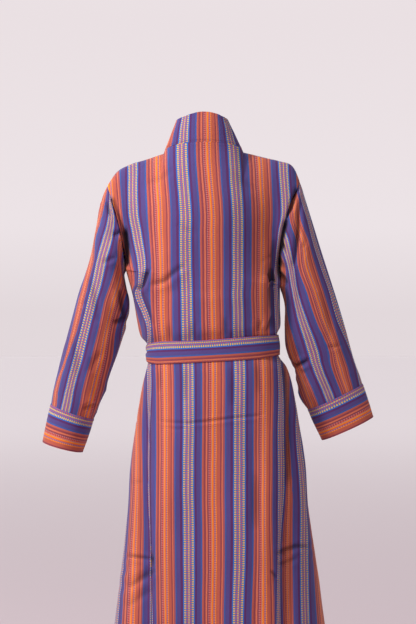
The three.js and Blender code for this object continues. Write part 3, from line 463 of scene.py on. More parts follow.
# the fronts carry similar ones: pulled to the knot, over the bust line and down the skirt
frontCreases = [
    (-3.2, 6, 1.6, [(150, -330), (118, -352), (80, -388), (40, -424)]),
    (-2.6, 6, 1.2, [(156, -372), (120, -388), (76, -410), (36, -430)]),
    (-3.0, 6, 1.4, [(-150, -340), (-116, -366), (-86, -396), (-60, -424)]),
    (-2.2, 7, 1.0, [(-156, -392), (-128, -402), (-92, -420)]),
    (-2.2, 8, 0.8, [(120, -250), (104, -290), (98, -340)]),
    (-2.2, 8, 0.8, [(-122, -260), (-110, -300), (-104, -350)]),
    (-2.6, 8, 0, [(30, -500), (48, -560), (60, -660)]),
    (-2.4, 9, 0, [(72, -502), (84, -570), (92, -700)]),
    (-2.2, 10, 0, [(-70, -500), (-84, -560), (-96, -680)]),
    (-2.0, 9, 0, [(-120, -496), (-134, -560), (-142, -640)]),
    (-1.6, 4, 0.8, [(170, -622), (110, -632), (40, -630)]),
    (-1.6, 4, 0.8, [(-90, -628), (-150, -624), (-190, -616)]),
    (-2.0, 6, 1.0, [(150, -925), (110, -936), (66, -934)]),
    (-2.0, 7, 1.0, [(-120, -940), (-170, -925), (-222, -912)]),
    (-1.8, 12, 0.8, [(60, -800), (70, -880), (66, -980)]),
    (-1.8, 12, 0.8, [(-150, -780), (-156, -860), (-150, -960)]),
    (-2.6, 8, 1.2, [(118, -962), (150, -980), (190, -1006)]),
]


# fades to nothing at the grid's own edges, so neighbours still meet
def edgeFade(grid, reach, sides):
    fade = np.ones(grid.shape[:2])
    fromFirst = rowLengths(grid)
    fromLast = fromFirst[:, -1:] - fromFirst
    if "first" in sides:
        fade = fade * smooth(0, reach, fromFirst)
    if "last" in sides:
        fade = fade * smooth(0, reach, fromLast)
    if "top" in sides:
        upward = np.linalg.norm(np.diff(grid, axis=0), axis=-1)
        fromTop = np.cumsum(upward[::-1], 0)[::-1]
        fromTop = np.concatenate([fromTop, np.zeros((1, grid.shape[1]))])
        fade = fade * smooth(0, reach, fromTop)
    return fade


def beltMask(x, z):
    lean = np.interp(x, [-170, 130], [22, 0])
    low, high = -494 + lean * 0.75, -456 + lean
    return smooth(low - 16, low - 3, z) * smooth(high + 16, high + 3, z)


# narrow hollows in the back, deep and carrying painted shade, that cross the armhole seams: depth, width,
# strength of the painted shade, line of x, z
tucks = [
    (-16, 8, 1.0, [(180, -190), (175, -220), (173, -250), (174, -284)]),
    (-7, 4, 0.5, [(206, -120), (196, -150), (184, -185), (178, -205)]),
    (-8, 3.5, 0.75, [(-208, -98), (-199, -128), (-192, -152), (-186, -172)]),
    (-12, 6, 1.0, [(-188, -164), (-179, -205), (-172, -240), (-168, -270), (-168, -316)]),
    (-6, 5, 0.8, [(-148, -284), (-154, -298), (-157, -316)]),
    (-3, 5, 0.45, [(-159, -318), (-156, -352), (-155, -390), (-158, -432)]),
    (-3, 8, 0.6, [(-174, -480), (-184, -540), (-188, -620), (-189, -700), (-189, -790)]),
]


# each tuck with how many half widths a grid's points lie off its line as seen, and its fading ends
def tuckReach(grid):
    for depth, width, dark, line in tucks:
        off, share = nearLine(*asSeen(grid), line)
        yield depth, dark, off / width, smooth(0, 0.15, share) * smooth(1, 0.85, share)


def tuckIn(grid):
    push = sum(depth * ends * np.exp(-off ** 2) for depth, _, off, ends in tuckReach(grid))
    pushed = grid.copy()
    pushed[..., 1] += push * smooth(0, 14, grid[..., 1])
    return pushed


# how dark the tucks lie in their own shade, from 0 to 1
def tuckShade(grid):
    shade = 0
    for _, dark, off, ends in tuckReach(grid):
        shade = np.maximum(shade, dark * ends * np.exp(-(off / 0.8) ** 4))
    return shade * smooth(0, 14, grid[..., 1])


def gridNormals(grid, facing, closed=False):
    if closed:
        across = np.roll(grid, -1, 1) - np.roll(grid, 1, 1)
    else:
        across = np.gradient(grid, axis=1)
    return facing * unit(np.cross(across, np.gradient(grid, axis=0)))


# the cloth is drawn in along its seams
def seamDip(grid, sides, depth=0.9, reach=4.8):
    return -depth * (1 - edgeFade(grid, reach, sides))


def meshFromGrids(name, outer, inner, u, v, closed=False, flip=False, paintedShade=None):
    rows, columns = outer.shape[:2]
    points = np.concatenate([outer.reshape(-1, 3), inner.reshape(-1, 3)]) / 1000
    layer = rows * columns
    spans = columns if closed else columns - 1
    i, j = (a.ravel() for a in np.meshgrid(np.arange(rows - 1), np.arange(spans), indexing="ij"))
    corners = [(i, j), (i, j + 1), (i + 1, j + 1), (i + 1, j)]

    def ids(corner, side):
        return side * layer + corner[0] * columns + corner[1] % columns

    def uvs(corner):
        return np.stack([u[corner[0], corner[1]], v[corner[0], corner[1]]], -1)

    faces = [np.stack([ids(c, 0) for c in corners], -1), np.stack([ids(c, 1) for c in corners[::-1]], -1)]
    faceUvs = [np.stack([uvs(c) for c in corners], 1), np.stack([uvs(c) for c in corners[::-1]], 1)]
    rims = []
    j = np.arange(spans)
    first, last = np.zeros(spans, int), np.full(spans, rows - 1)
    rims.append([((first, j), 1), ((first, j + 1), 1), ((first, j + 1), 0), ((first, j), 0)])
    rims.append([((last, j), 0), ((last, j + 1), 0), ((last, j + 1), 1), ((last, j), 1)])
    if not closed:
        i = np.arange(rows - 1)
        first, last = np.zeros(rows - 1, int), np.full(rows - 1, columns - 1)
        rims.append([((i, first), 0), ((i + 1, first), 0), ((i + 1, first), 1), ((i, first), 1)])
        rims.append([((i, last), 1), ((i + 1, last), 1), ((i + 1, last), 0), ((i, last), 0)])
    for rim in rims:
        faces.append(np.stack([ids(corner, side) for corner, side in rim], -1))
        faceUvs.append(np.stack([uvs(corner) for corner, side in rim], 1))
    faces, faceUvs = np.concatenate(faces), np.concatenate(faceUvs)
    if flip:
        faces, faceUvs = faces[:, ::-1], faceUvs[:, ::-1]
    made = meshObject(name, points, faces, faceUvs)
    # painted shade for the cloth's colour, the same on both faces
    if paintedShade is not None:
        shade = made.data.attributes.new("paintedShade", "FLOAT", "POINT")
        shade.data.foreach_set("value", np.tile(paintedShade.ravel(), 2))
    return made


def meshObject(name, points, faces, faceUvs):
    mesh = bpy.data.meshes.new(name)
    mesh.from_pydata(points.tolist(), [], faces.tolist())
    layer = mesh.uv_layers.new(name="clothRun")
    layer.data.foreach_set("uv", faceUvs.reshape(-1))
    mesh.polygons.foreach_set("use_smooth", np.ones(len(mesh.polygons), bool))
    mesh.set_sharp_from_angle(angle=math.radians(55))
    return addObject(name, mesh)


# moves a grid of the cloth's middle out along its normals
def outerFace(grid, facing, depth, closed=False):
    return grid + gridNormals(grid, facing, closed) * depth[..., None]


# each sheet as it is cut: its flat size in metres, its area, and how it is held
cuts = {
    "back": dict(flat=(0.56, 1.31), area=0.48, held="hung"),
    "front": dict(flat=(0.5, 1.31), area=0.465, held="hung"),
    "collar": dict(flat=(0.075, 2.92), area=0.216, held="folded"),
    "sleeve": dict(flat=(0.4, 0.57), area=0.155, held="hung"),
    "cuff": dict(flat=(0.09, 0.35), area=0.0285, held="folded"),
    "beltWrap": dict(flat=(0.048, 0.81), area=0.0365, held="folded"),
    "beltEnd": dict(flat=(0.047, 0.41), area=0.0183, held="folded"),
}
thickness = dict(hung=1.1, folded=2.2)


# kind names the material
def dress(piece, kind, node):
    piece.data.materials.append(materials[kind])
    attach(piece, "root")
    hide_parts(node)


# a wall of cloth behind its outer face, in place of a node
def addCloth(node, kind, cut, outer, facing, u, v, closed=False, paintedShade=None):
    inner = outer - gridNormals(outer, facing, closed) * thickness[cut["held"]]
    piece = meshFromGrids(node + "_cloth", outer, inner, u, v, closed, facing < 0, paintedShade)
    dress(piece, kind, node)


# One repeat of the warp, in steps of a chart that is 51.9 wide: where each stripe starts,
# and its yarn. Where it has two yarns, they take turns along the warp as dashes.
clothRepeat = dict(width=0.1131, chart=51.9, dash=0.0049, middle=19.35, dottedMiddle=45.5, beltEdge=43.5,
                   cuffEdge=42.5)
yarn = {
    "plum": (90, 44, 100), "violet": (83, 68, 130), "blue": (58, 88, 156), "brightBlue": (42, 108, 196),
    "rust": (186, 90, 72), "maroon": (142, 64, 76), "salmon": (212, 112, 82), "orange": (226, 112, 50),
    "redOrange": (230, 88, 48), "amber": (242, 140, 30), "grey": (180, 124, 128), "rose": (162, 80, 88),
    "yellow": (238, 188, 52), "red": (222, 62, 62), "crimson": (204, 52, 88), "lilac": (148, 88, 118),
    "dusk": (92, 106, 164), "sky": (92, 112, 168),
}
chart = [
    (0.0, "plum"), (2.1, "violet"), (6.1, "blue"), (7.9, "rust"), (9.7, "maroon"), (11.7, "salmon"),
    (13.2, "maroon"), (14.7, "grey", "rose"), (15.7, "redOrange", "maroon"), (17.0, "grey", "salmon"),
    (18.2, "amber"), (19.1, "redOrange", "orange"), (20.2, "grey", "lilac"), (21.7, "amber", "orange"),
    (22.8, "rust"), (26.4, "maroon"), (27.8, "salmon"), (29.0, "rose"), (30.9, "blue"), (32.4, "violet"),
    (36.6, "plum"), (39.3, "brightBlue"), (40.5, "yellow", "sky"), (42.2, "dusk"), (43.0, "red", "dusk"),
    (44.1, "dusk"), (44.9, "yellow", "grey"), (46.1, "dusk"), (46.9, "dusk", "crimson"), (48.0, "dusk"),
    (48.8, "sky", "yellow"), (50.6, "brightBlue"),
]
weave = dict(rib=0.0011, pick=0.0014, streaksAcross=900, streaksAlong=14, patchScale=7, wander=0.0022,
             wanderScale=9, unevenness=0.12)


# metres across the warp up to a place on the chart
def chartPlace(column):
    return column / clothRepeat["chart"] * clothRepeat["width"]


rustMiddle = chartPlace(clothRepeat["middle"])
beltStart = chartPlace(clothRepeat["beltEdge"] - clothRepeat["chart"])
cuffStart = chartPlace(clothRepeat["cuffEdge"] - clothRepeat["chart"])


def linear(rgb):
    shares = [c / 255 for c in rgb]
    return [c / 12.92 if c <= 0.04045 else ((c + 0.055) / 1.055) ** 2.4 for c in shares] + [1]


def newGroup(name, inputs, outputs):
    group = bpy.data.node_groups.new(name, "ShaderNodeTree")
    for label, kind, value in inputs:
        socket = group.interface.new_socket(label, in_out="INPUT", socket_type=kind)
        if value is not None:
            socket.default_value = value
    for label, kind in outputs:
        group.interface.new_socket(label, in_out="OUTPUT", socket_type=kind)
    return group, group.nodes.new("NodeGroupInput"), group.nodes.new("NodeGroupOutput")


class Wiring:
    # short names for adding nodes to one tree and linking them
    def __init__(self, tree):
        self.tree = tree

    def add(self, kind, **settings):
        node = self.tree.nodes.new(kind)
        for key, value in settings.items():
            setattr(node, key, value)
        return node

    def link(self, source, target):
        self.tree.links.new(source, target)
        return target

    def math(self, operation, *values):
        node = self.add("ShaderNodeMath", operation=operation)
        for socket, value in zip(node.inputs, values):
            if isinstance(value, (int, float)):
                socket.default_value = value
            else:
                self.link(value, socket)
        return node.outputs[0]

    def noise(self, vector, scale, detail=2):
        node = self.add("ShaderNodeTexNoise", noise_dimensions="2D")
        node.inputs["Scale"].default_value = scale
        node.inputs["Detail"].default_value = detail
        self.link(vector, node.inputs["Vector"])
        return node.outputs[0]

    def mixColour(self, factor, a, b, blend="MIX"):
        node = self.add("ShaderNodeMix", data_type="RGBA", blend_type=blend)
        for socket, value in ((node.inputs[0], factor), (node.inputs[6], a), (node.inputs[7], b)):
            if isinstance(value, (int, float, list, tuple)):
                socket.default_value = value
            else:
                self.link(value, socket)
        return node.outputs[2]


def stripeRamp(wiring, which, factor):
    ramp = wiring.add("ShaderNodeValToRGB")
    ramp.color_ramp.interpolation = "CONSTANT"
    elements = ramp.color_ramp.elements
    while len(elements) > 1:
        elements.remove(elements[-1])
    for index, row in enumerate(chart):
        element = elements[0] if index == 0 else elements.new(row[0] / clothRepeat["chart"])
        element.position = row[0] / clothRepeat["chart"]
        element.color = linear(yarn[row[which]])
    wiring.link(factor, ramp.inputs[0])
    return ramp.outputs[0]


def makeStripeGroup():
    group, given, result = newGroup("striped cotton", [
        ("Run", "NodeSocketVector", None), ("Stripe Width", "NodeSocketFloat", clothRepeat["width"]),
        ("Dash", "NodeSocketFloat", clothRepeat["dash"]),
        ("Unevenness", "NodeSocketFloat", weave["unevenness"]),
    ], [("Color", "NodeSocketColor"), ("Height", "NodeSocketFloat"), ("Roughness", "NodeSocketFloat")])
    w = Wiring(group)
    run = given.outputs["Run"]
    parts = w.add("ShaderNodeSeparateXYZ")
    w.link(run, parts.inputs[0])
    across, along = parts.outputs[0], parts.outputs[1]
    drift = w.math("MULTIPLY", w.math("SUBTRACT", w.noise(run, weave["wanderScale"]), 0.5), weave["wander"])
    place = w.math("FRACT", w.math("DIVIDE", w.math("ADD", across, drift), given.outputs["Stripe Width"]))
    dashes = w.math("FRACT", w.math("DIVIDE", along, given.outputs["Dash"]))
    dashMask = w.math("GREATER_THAN", dashes, 0.5)
    colour = w.mixColour(dashMask, stripeRamp(w, 1, place), stripeRamp(w, -1, place))
    # thread by thread: slubs run far along the warp and change fast across it
    stretched = w.add("ShaderNodeCombineXYZ")
    w.link(w.math("MULTIPLY", across, weave["streaksAcross"]), stretched.inputs[0])
    w.link(w.math("MULTIPLY", along, weave["streaksAlong"]), stretched.inputs[1])
    streaks = w.noise(stretched.outputs[0], 1, 3)
    patches = w.noise(run, weave["patchScale"], 4)
    tone = w.math("ADD", w.math("SUBTRACT", streaks, 0.5),
                  w.math("MULTIPLY", w.math("SUBTRACT", patches, 0.5), 0.7))
    uneven = w.math("MULTIPLY", given.outputs["Unevenness"], 3.0)
    level = w.math("ADD", 1.0, w.math("MULTIPLY", tone, uneven))
    grey = w.add("ShaderNodeCombineColor")
    for socket in grey.inputs:
        w.link(level, socket)
    w.link(w.mixColour(1.0, colour, grey.outputs[0], "MULTIPLY"), result.inputs["Color"])
    # plain weave: warp ribs crossed by the weft
    ribs = w.math("SINE", w.math("MULTIPLY", across, 2 * math.pi / weave["rib"]))
    picks = w.math("SINE", w.math("MULTIPLY", along, 2 * math.pi / weave["pick"]))
    ground = w.math("MULTIPLY", w.math("ADD", ribs, w.math("MULTIPLY", picks, 0.7)), 0.3)
    w.link(w.math("ADD", ground, w.math("MULTIPLY", streaks, 0.8)), result.inputs["Height"])
    w.link(w.math("ADD", 0.8, w.math("MULTIPLY", patches, 0.12)), result.inputs["Roughness"])
    return group


stripeGroup = makeStripeGroup()


def newMaterial(name):
    material = bpy.data.materials.new(name)
    material.use_nodes = True
    return material, material.node_tree.nodes["Principled BSDF"], Wiring(material.node_tree)


def clothMaterial(name):
    material, shader, w = newMaterial(name)
    run = w.add("ShaderNodeUVMap", uv_map="clothRun")
    stripes = w.add("ShaderNodeGroup", node_tree=stripeGroup)
    w.link(run.outputs[0], stripes.inputs["Run"])
    # painted shade: the cloth's colour is darkened towards near black where little light gets into the
    # creases and tucks
    paintedShade = w.add("ShaderNodeAttribute", attribute_name="paintedShade")
    shadedColour = w.mixColour(w.math("MULTIPLY", paintedShade.outputs["Fac"], 0.94), stripes.outputs["Color"],
                       linear((20, 12, 24)))
    w.link(shadedColour, shader.inputs["Base Color"])
    w.link(stripes.outputs["Roughness"], shader.inputs["Roughness"])
    bump = w.add("ShaderNodeBump")
    bump.inputs["Strength"].default_value = 0.35
    bump.inputs["Distance"].default_value = 0.0006
    w.link(stripes.outputs["Height"], bump.inputs["Height"])
    w.link(bump.outputs[0], shader.inputs["Normal"])
    shader.inputs["Specular IOR Level"].default_value = 0.28
    shader.inputs["Sheen Weight"].default_value = 0.12
    shader.inputs["Sheen Roughness"].default_value = 0.45
    return material


kinds = ("body", "sleeve", "cuff", "collar", "belt")
materials = {kind: clothMaterial("striped cotton " + kind) for kind in kinds}
print("cloth and yarn colours ready")

# u is measured across the warp from the middle of the rust stripe, towards the wearer's right,
# and v along the warp, both in metres.
# As the cloth looks from the viewer's side, each column is one line of the weave: its name is the
# number of stripe widths from the middle rust stripe, and its values are x on the garment's middle
# plane. The weave is a straight one, and the folds and the flare push its lines together or apart.
bodyRepeats = [-2.22, -1.78, -1.614, -1.369, -1.22, -0.78, 0, 0.78, 1.22, 1.386, 1.631, 1.78, 2.22, 2.386,
               2.631, 2.89]
bodyLines = [
    # z, then x of each line, from the wearer's left to the right
    (0, 241, 191, 172, 147, 129, 83, -7, -97, -147, -165, -190, -207, -254, -275, -302, -329),
    (-61, 239, 191, 172, 148, 130, 82, -10, -102, -150, -167, -191, -207, -254, -275, -302, -329),
    (-158, 232, 184, 171, 147, 127, 76, -17, -107, -154, -173, -195, -209, -252, -270, -297, -324),
    (-203, 223, 177, 163, 139, 124, 76, -17, -108, -153, -167, -179, -189, -225, -241, -266, -290),
    (-279, 205, 160, 150, 130, 119, 75, -18, -107, -152, -159, -169, -177, -205, -216, -236, -254),
    (-320, 194, 156, 149, 138, 120, 73, -18, -107, -149, -156, -166, -173, -200, -210, -227, -245),
    (-342, 196, 163, 156, 140, 120, 72, -18, -106, -150, -157, -168, -173, -200, -210, -227, -245),
    (-394, 189, 150, 136, 121, 118, 72, -19, -108, -149, -159, -171, -176, -203, -214, -232, -250),
    (-423, 180, 141, 128, 118, 116, 71, -20, -108, -148, -160, -171, -176, -203, -214, -232, -250),
    (-468, 171, 137, 128, 119, 111, 69, -21, -111, -154, -163, -172, -176, -194, -205, -221, -238),
    (-558, 167, 136, 128, 118, 108, 67, -21, -113, -157, -167, -179, -183, -192, -209, -223, -238),
    (-648, 164, 140, 125, 123, 107, 67, -21, -112, -155, -165, -181, -183, -190, -206, -217, -232),
    (-781, 168, 137, 125, 123, 108, 68, -20, -112, -154, -166, -182, -184, -198, -215, -234, -252),
    (-907, 179, 136, 121, 120, 109, 66, -21, -112, -155, -166, -172, -176, -199, -216, -236, -254),
    (-1082, 188, 140, 122, 115, 107, 64, -19, -107, -160, -163, -173, -178, -201, -218, -239, -266),
    (-1310, 207, 145, 124, 111, 106, 63, -19, -107, -160, -167, -180, -187, -213, -230, -254, -286),
]


# stripe widths at points whose side is turned to the viewer, read between the lines of such a table
def warpAt(points, repeats, table):
    seenX, seenZ = asSeen(points)
    rows = np.array(table, float)
    level = np.interp(-seenZ, -rows[:, 0], np.arange(len(rows)))
    columns = {str(i): rows[:, i + 1] for i in range(len(repeats))}
    lines = [spline(columns, str(i), level) for i in range(len(repeats))]
    spacing = clothRepeat["width"] * 1000
    last = len(repeats) - 2
    run = 0 * seenX
    for i in range(last + 1):
        t = (lines[i] - seenX) / np.maximum(lines[i] - lines[i + 1], 1)
        within = ((t >= 0) | (i == 0)) & ((t < 1) | (i == last))
        run = np.where(within, mix(repeats[i], repeats[i + 1], t) * spacing, run)
    return run


turning = dict(leastSlope=0.62, window=5, turnRows=18, straightRows=41, straightReach=60)


# Going outwards over its columns, each row of a grid follows the viewer's lines until the cloth
# turns away from the viewer, and goes on by its own length from there. way is 1 where the run
# grows outwards and -1 where it falls.
def followTurn(grid, seen, way, entry=None):
    lengths = rowLengths(grid)
    window = turning["window"]
    slope = way * (seen[:, window:] - seen[:, :-window])
    slope = slope / np.maximum(lengths[:, window:] - lengths[:, :-window], 0.1)
    turns = np.zeros(len(seen))
    for i, row in enumerate(slope):
        facing = np.nonzero(row[:np.argmax(way * seen[i]) + 1] > turning["leastSlope"])[0]
        turns[i] = lengths[i, facing[-1] + window] if len(facing) else 0
    turns = steady(turns, turning["turnRows"])[:, None]
    starts = np.array([np.interp(turns[i, 0], lengths[i], seen[i]) for i in range(len(seen))])[:, None]
    if entry is not None:
        starts = np.where(turns < 2, entry[:, None], starts)
    # further round the lines straighten out
    past = lengths - turns
    straight = steady(starts[:, 0], turning["straightRows"])[:, None]
    straighter = (straight - starts) * smooth(0, turning["straightReach"], past)
    return np.where(past <= 0, seen, starts + way * past + straighter)


# values evened out over neighbouring rows, with less weight further off
def steady(values, reach):
    weights = np.exp(-(np.arange(-2 * reach, 2 * reach + 1) / reach) ** 2)
    padded = np.pad(values, 2 * reach, mode="edge")
    return np.convolve(padded, weights / weights.sum(), mode="valid")


def backRunOf(grid):
    seen = warpAt(grid, bodyRepeats, bodyLines)
    middle = grid.shape[1] // 2
    level = grid[..., :2]
    towardsLeft = followTurn(level[:, middle:], seen[:, middle:], -1)
    towardsRight = followTurn(level[:, middle::-1], seen[:, middle::-1], 1)
    return np.concatenate([towardsRight[:, :0:-1], towardsLeft], 1)


# a front's weave goes on from the back's at the side seam. Towards the front edge its lines stand
# nearly upright, because the edge is cut along the warp and the side seam takes up the flare.
def frontRun(grid, side, backEdge):
    seen = warpAt(grid, bodyRepeats, bodyLines)
    level = grid[..., :2]
    run = followTurn(level, seen, -side, backEdge)
    lengths = rowLengths(level)
    lower = len(lowerLevels)
    waistRow = np.argmin(np.abs(lowerLevels - beltRings[0]))
    drift = run[:, -1] - run[waistRow, -1]
    drift = drift * smooth(0, -60, grid[:, -1, 2] - grid[waistRow, -1, 2]) * 0.6
    turned = np.clip((lengths - lengths[:, -1:] * 0.25) / (lengths[:, -1:] * 0.75), 0, 1)
    run = run - drift[:, None] * turned
    # over the yoke the lines of the weave go straight up to the shoulder
    order = slice(None, None, 1 if side < 0 else -1)
    x, values = grid[lower - 1, order, 0], run[lower - 1, order]
    flatHalf, reach = 135, 150
    flat = np.abs(x) < flatHalf
    x, values = x[flat], values[flat]
    x = np.concatenate([[x[0] - reach], x, [x[-1] + reach]])
    values = np.concatenate([[values[0] - reach], values, [values[-1] + reach]])
    for i in range(lower, len(grid)):
        run[i] = np.interp(grid[i, :, 0], x, values)
    return run


def runAlong(grid, column):
    lengths = lengthsAlong(grid[:, column])
    return np.broadcast_to((lengths[-1] - lengths)[:, None], grid.shape[:2])


back = tuckIn(backGrid())
fronts = {side: frontGrid(side) for side in hands}


# out and in of the body's cloth, and the painted shade in its creases and tucks
def clothDepth(grid, seed, covered=0):
    x, z = grid[..., 0], grid[..., 2]
    behind = smooth(-20, 20, grid[..., 1])
    creases = behind * sum(creaseDepth(*asSeen(grid), *row) for row in backCreases)
    creases = creases + (1 - behind) * sum(creaseDepth(x, z, *row) for row in frontCreases)
    fade = (1 - beltMask(x, z)) * (1 - covered)
    depth = creases + ripples(x, z, 90, 0.9, seed) + ripples(x, z, 26, 0.22, seed + 1)
    paintedShade = np.maximum(np.clip(-creases / 6.5 - 0.08, 0, 0.62) * fade, tuckShade(grid))
    return depth * fade, paintedShade


sides = ("first", "last", "top")
backDepth, backPaintedShade = clothDepth(back, 4)
backDepth = backDepth * edgeFade(back, 7, sides) + seamDip(back, sides)
backOuter = outerFace(back, -1, backDepth)
backRun = backRunOf(backOuter)
backAlong = runAlong(back, gridSizes["backColumns"] // 2)
addCloth("back", "body", cuts["back"], backOuter, -1, backRun / 1000 + rustMiddle, backAlong / 1000,
         paintedShade=backPaintedShade)
print("back ready")

frontOuters = {}
for side, name in hands.items():
    grid = fronts[side]
    # the right front lies flat where the left one covers it
    covered = smooth(-10, 40, grid[..., 0]) * smooth(20, -20, grid[..., 1]) if side < 0 else 0
    depth, paintedShade = clothDepth(grid, 11 if side > 0 else 17, covered)
    depth = depth * edgeFade(grid, 7, sides) + seamDip(grid, sides)
    outer = outerFace(grid, -side, depth)
    across = frontRun(outer, side, backRun[:, -1] if side > 0 else backRun[:, 0])
    addCloth("front_" + name, "body", cuts["front"], outer, -side, across / 1000 + rustMiddle,
             backAlong[:, :1] / 1000 + 0 * across, paintedShade=paintedShade)
    frontOuters[side] = outer
print("fronts ready")


def levelsPerMillimetre(level):
    start = np.minimum(level, topRing - 0.02)
    return 0.01 / (ringHeight(splineRow(bodyRings, start + 0.01)) - ringHeight(splineRow(bodyRings, start)))


def bandOnFront(side, points, levels, shares):
    inward = atHeight(collarStands, "leftIn" if side > 0 else "rightIn", points[:, 2])[:, None]
    up = atHeight(collarStands, "up", points[:, 2])[:, None]

    def onCloth(part):
        lifted = np.minimum(topRing, levels[:, None] + levelsPerMillimetre(levels)[:, None] * up * part)
        x = points[:, :1] - side * inward * part
        ring = splineRow(bodyRings, lifted)
        lift = layerLift(side, x, ringHeight(ring), ringMiddle(ring))
        surface = bodyPoint(lifted, degreesAtX(lifted, x), lift)
        surface[..., 2] = np.maximum(surface[..., 2], points[:, 2:] + up * part)
        return surface

    seamStep = points[:, None, :] - onCloth(np.zeros((1, 1)))
    return onCloth(shares[None, :]) + seamStep * (1 - shares)[None, :, None]


def bandStanding(side, points, shares):
    side = np.broadcast_to(side, len(points))
    inward = np.where(side > 0, atHeight(collarStands, "leftIn", points[:, 2]),
                      atHeight(collarStands, "rightIn", points[:, 2]))
    step = np.stack([-side * inward, atHeight(collarStands, "back", points[:, 2]),
                     atHeight(collarStands, "up", points[:, 2])], -1)
    return points[:, None, :] + step[:, None, :] * shares[None, :, None]


def makeCollar():
    shares = np.linspace(0, 1, gridSizes["collarColumns"] + 1)
    lower = len(lowerLevels)
    parts = []
    leftEdge, rightEdge = fronts[1][:, -1], fronts[-1][:, -1]
    parts.append(bandOnFront(1, leftEdge[:lower], lowerLevels, shares))
    parts.append(bandStanding(1, leftEdge[lower:], shares))
    shoulder = bodyCut["shoulderShare"]
    place = np.linspace(1 - shoulder, shoulder, gridSizes["neckRows"] + 2)[1:-1]
    neck = backTop(place)
    parts.append(bandStanding(np.sign(neck[:, 0]), neck, shares))
    parts.append(bandStanding(-1, rightEdge[lower:][::-1], shares))
    parts.append(bandOnFront(-1, rightEdge[:lower][::-1], lowerLevels[::-1], shares))
    grid = np.concatenate(parts)
    seam = grid[:, 0]
    length = lengthsAlong(seam)
    nape = np.argmin(np.abs(seam[:, 0] + 7) + np.where(seam[:, 1] > 20, 0, 1e4))
    u = np.broadcast_to((length - length[nape] - 3)[:, None], grid.shape[:2])
    v = np.broadcast_to((shares * bodyCut["bandWidth"])[None, :], grid.shape[:2])
    depth = ripples(u, v, 70, 0.5, 23, stretch=1) * edgeFade(grid, 9, ("first",))
    depth = depth + 1.1 * np.sin(np.pi * shares)[None, :] ** 2 + seamDip(grid, ("first",), depth=0.7)
    outer = outerFace(grid, -1, depth)
    addCloth("collar_band", "collar", cuts["collar"], outer, -1, u / 1000 + rustMiddle, v / 1000)
    return outer


collarOuter = makeCollar()
print("collar band ready")

sleeveSections = {
    1: table("outX outZ inX inZ y back front bow", [
        (218, -99, 175, -290, 0, 52, 46, 11), (230, -131, 179, -303, 0, 58, 52, 5),
        (244, -198, 175, -326, -2, 62, 58, 0), (257, -262, 168, -362, -4, 63, 61, 0),
        (280, -334, 175, -410, -7, 62, 61, 0), (304, -418, 193, -468, -12, 60, 59, 0),
        (326, -500, 217, -533, -20, 58, 57, 0), (341, -556, 226, -578, -27, 57, 56, 0),
        (347.5, -591, 251, -625, -33, 54, 54, 0)]),
    -1: table("outX outZ inX inZ y back front bow", [
        (-216, -90, -170, -322, 0, 54, 48, 19), (-227, -126, -176, -343, 0, 59, 53, 9),
        (-244, -180, -182, -374, -2, 61, 57, 1), (-265, -248, -182, -414, -4, 60, 58, 0),
        (-290, -325, -183.5, -457, -7, 57, 56, 0), (-317, -412, -194, -495, -12, 54, 53, 0),
        (-338, -486, -208, -545, -18, 50, 49, 0), (-352, -524, -219, -577, -23, 47, 46, 0),
        (-359, -545, -236, -603, -27, 44, 44, 0)]),
}
cuffEnds = {
    1: dict(outX=367, outZ=-677, inX=277.5, inZ=-701, y=-42, back=52, front=52, bow=0),
    -1: dict(outX=-384, outZ=-620.5, inX=-269, inZ=-673, y=-36, back=42, front=42, bow=0),
}
# from degrees, to degrees, start and end share of the length, half width in degrees, depth
sleeveFolds = {
    1: [(100, 60, 0.02, 0.3, 16, -6), (150, 120, 0.25, 0.62, 18, -6), (60, 90, 0.5, 0.95, 18, -4),
        (175, 185, 0.82, 0.96, 26, -5), (250, 290, 0.1, 0.6, 18, -5)],
    -1: [(60, 70, 0.0, 0.28, 14, -7), (95, 110, 0.1, 0.55, 16, -6), (140, 150, 0.5, 0.95, 18, -4),
         (178, 182, 0.6, 0.82, 24, -5), (260, 280, 0.15, 0.7, 18, -5)],
}
# the lines of the weave down the sleeves, as the body's, in repeats from the dotted band's middle
sleeveRepeats = {1: [0.85, 0.72, 0.28, 0.122, -0.122, -0.28, -0.72],
                 -1: [-0.72, -0.28, -0.122, 0.122, 0.28, 0.72, 0.878, 1.122]}
sleeveLines = {
    1: [
        (-108, 226, 225, 218, 213, 205, 196, 180),
        (-142, 236, 234, 225, 214, 206, 187, 171),
        (-176, 244, 242, 233, 218, 200, 181, 166),
        (-220, 254, 252, 245, 230, 206, 191, 164),
        (-266, 262, 260, 248, 243, 218, 196, 164),
        (-310, 275, 270, 259, 252, 227, 208, 167),
        (-356, 289, 283, 270, 263, 240, 224, 180),
        (-423, 305, 298, 286, 279, 257, 238, 199),
        (-486, 322, 313, 308, 295, 272, 254, 206),
        (-551, 342, 335, 327, 311, 290, 272, 220),
        (-592, 349, 342, 332, 321, 297, 280, 232),
        (-637, 359, 352, 343, 332, 309, 292, 245),
    ],
    -1: [
        (-108, -151, -160, -166, -180, -189, -208, -213, -222),
        (-130, -148, -159, -169, -184, -191, -214, -218, -228),
        (-176, -144, -154, -163, -176, -194, -218, -232, -241),
        (-220, -144, -160, -169, -191, -208, -235, -243, -253),
        (-279, -165, -183, -187, -203, -211, -252, -261, -271),
        (-333, -169, -183, -197, -211, -231, -269, -280, -290),
        (-400, -175, -189, -210, -232, -252, -289, -298, -313),
        (-464, -180, -207, -229, -256, -280, -308, -326, -337),
        (-506, -196, -222, -243, -267, -288, -323, -341, -351),
        (-571, -218, -249, -269, -292, -312, -339, -354, -366),
        (-614, -236, -264, -283, -307, -326, -351, -366, -377),
    ],
}
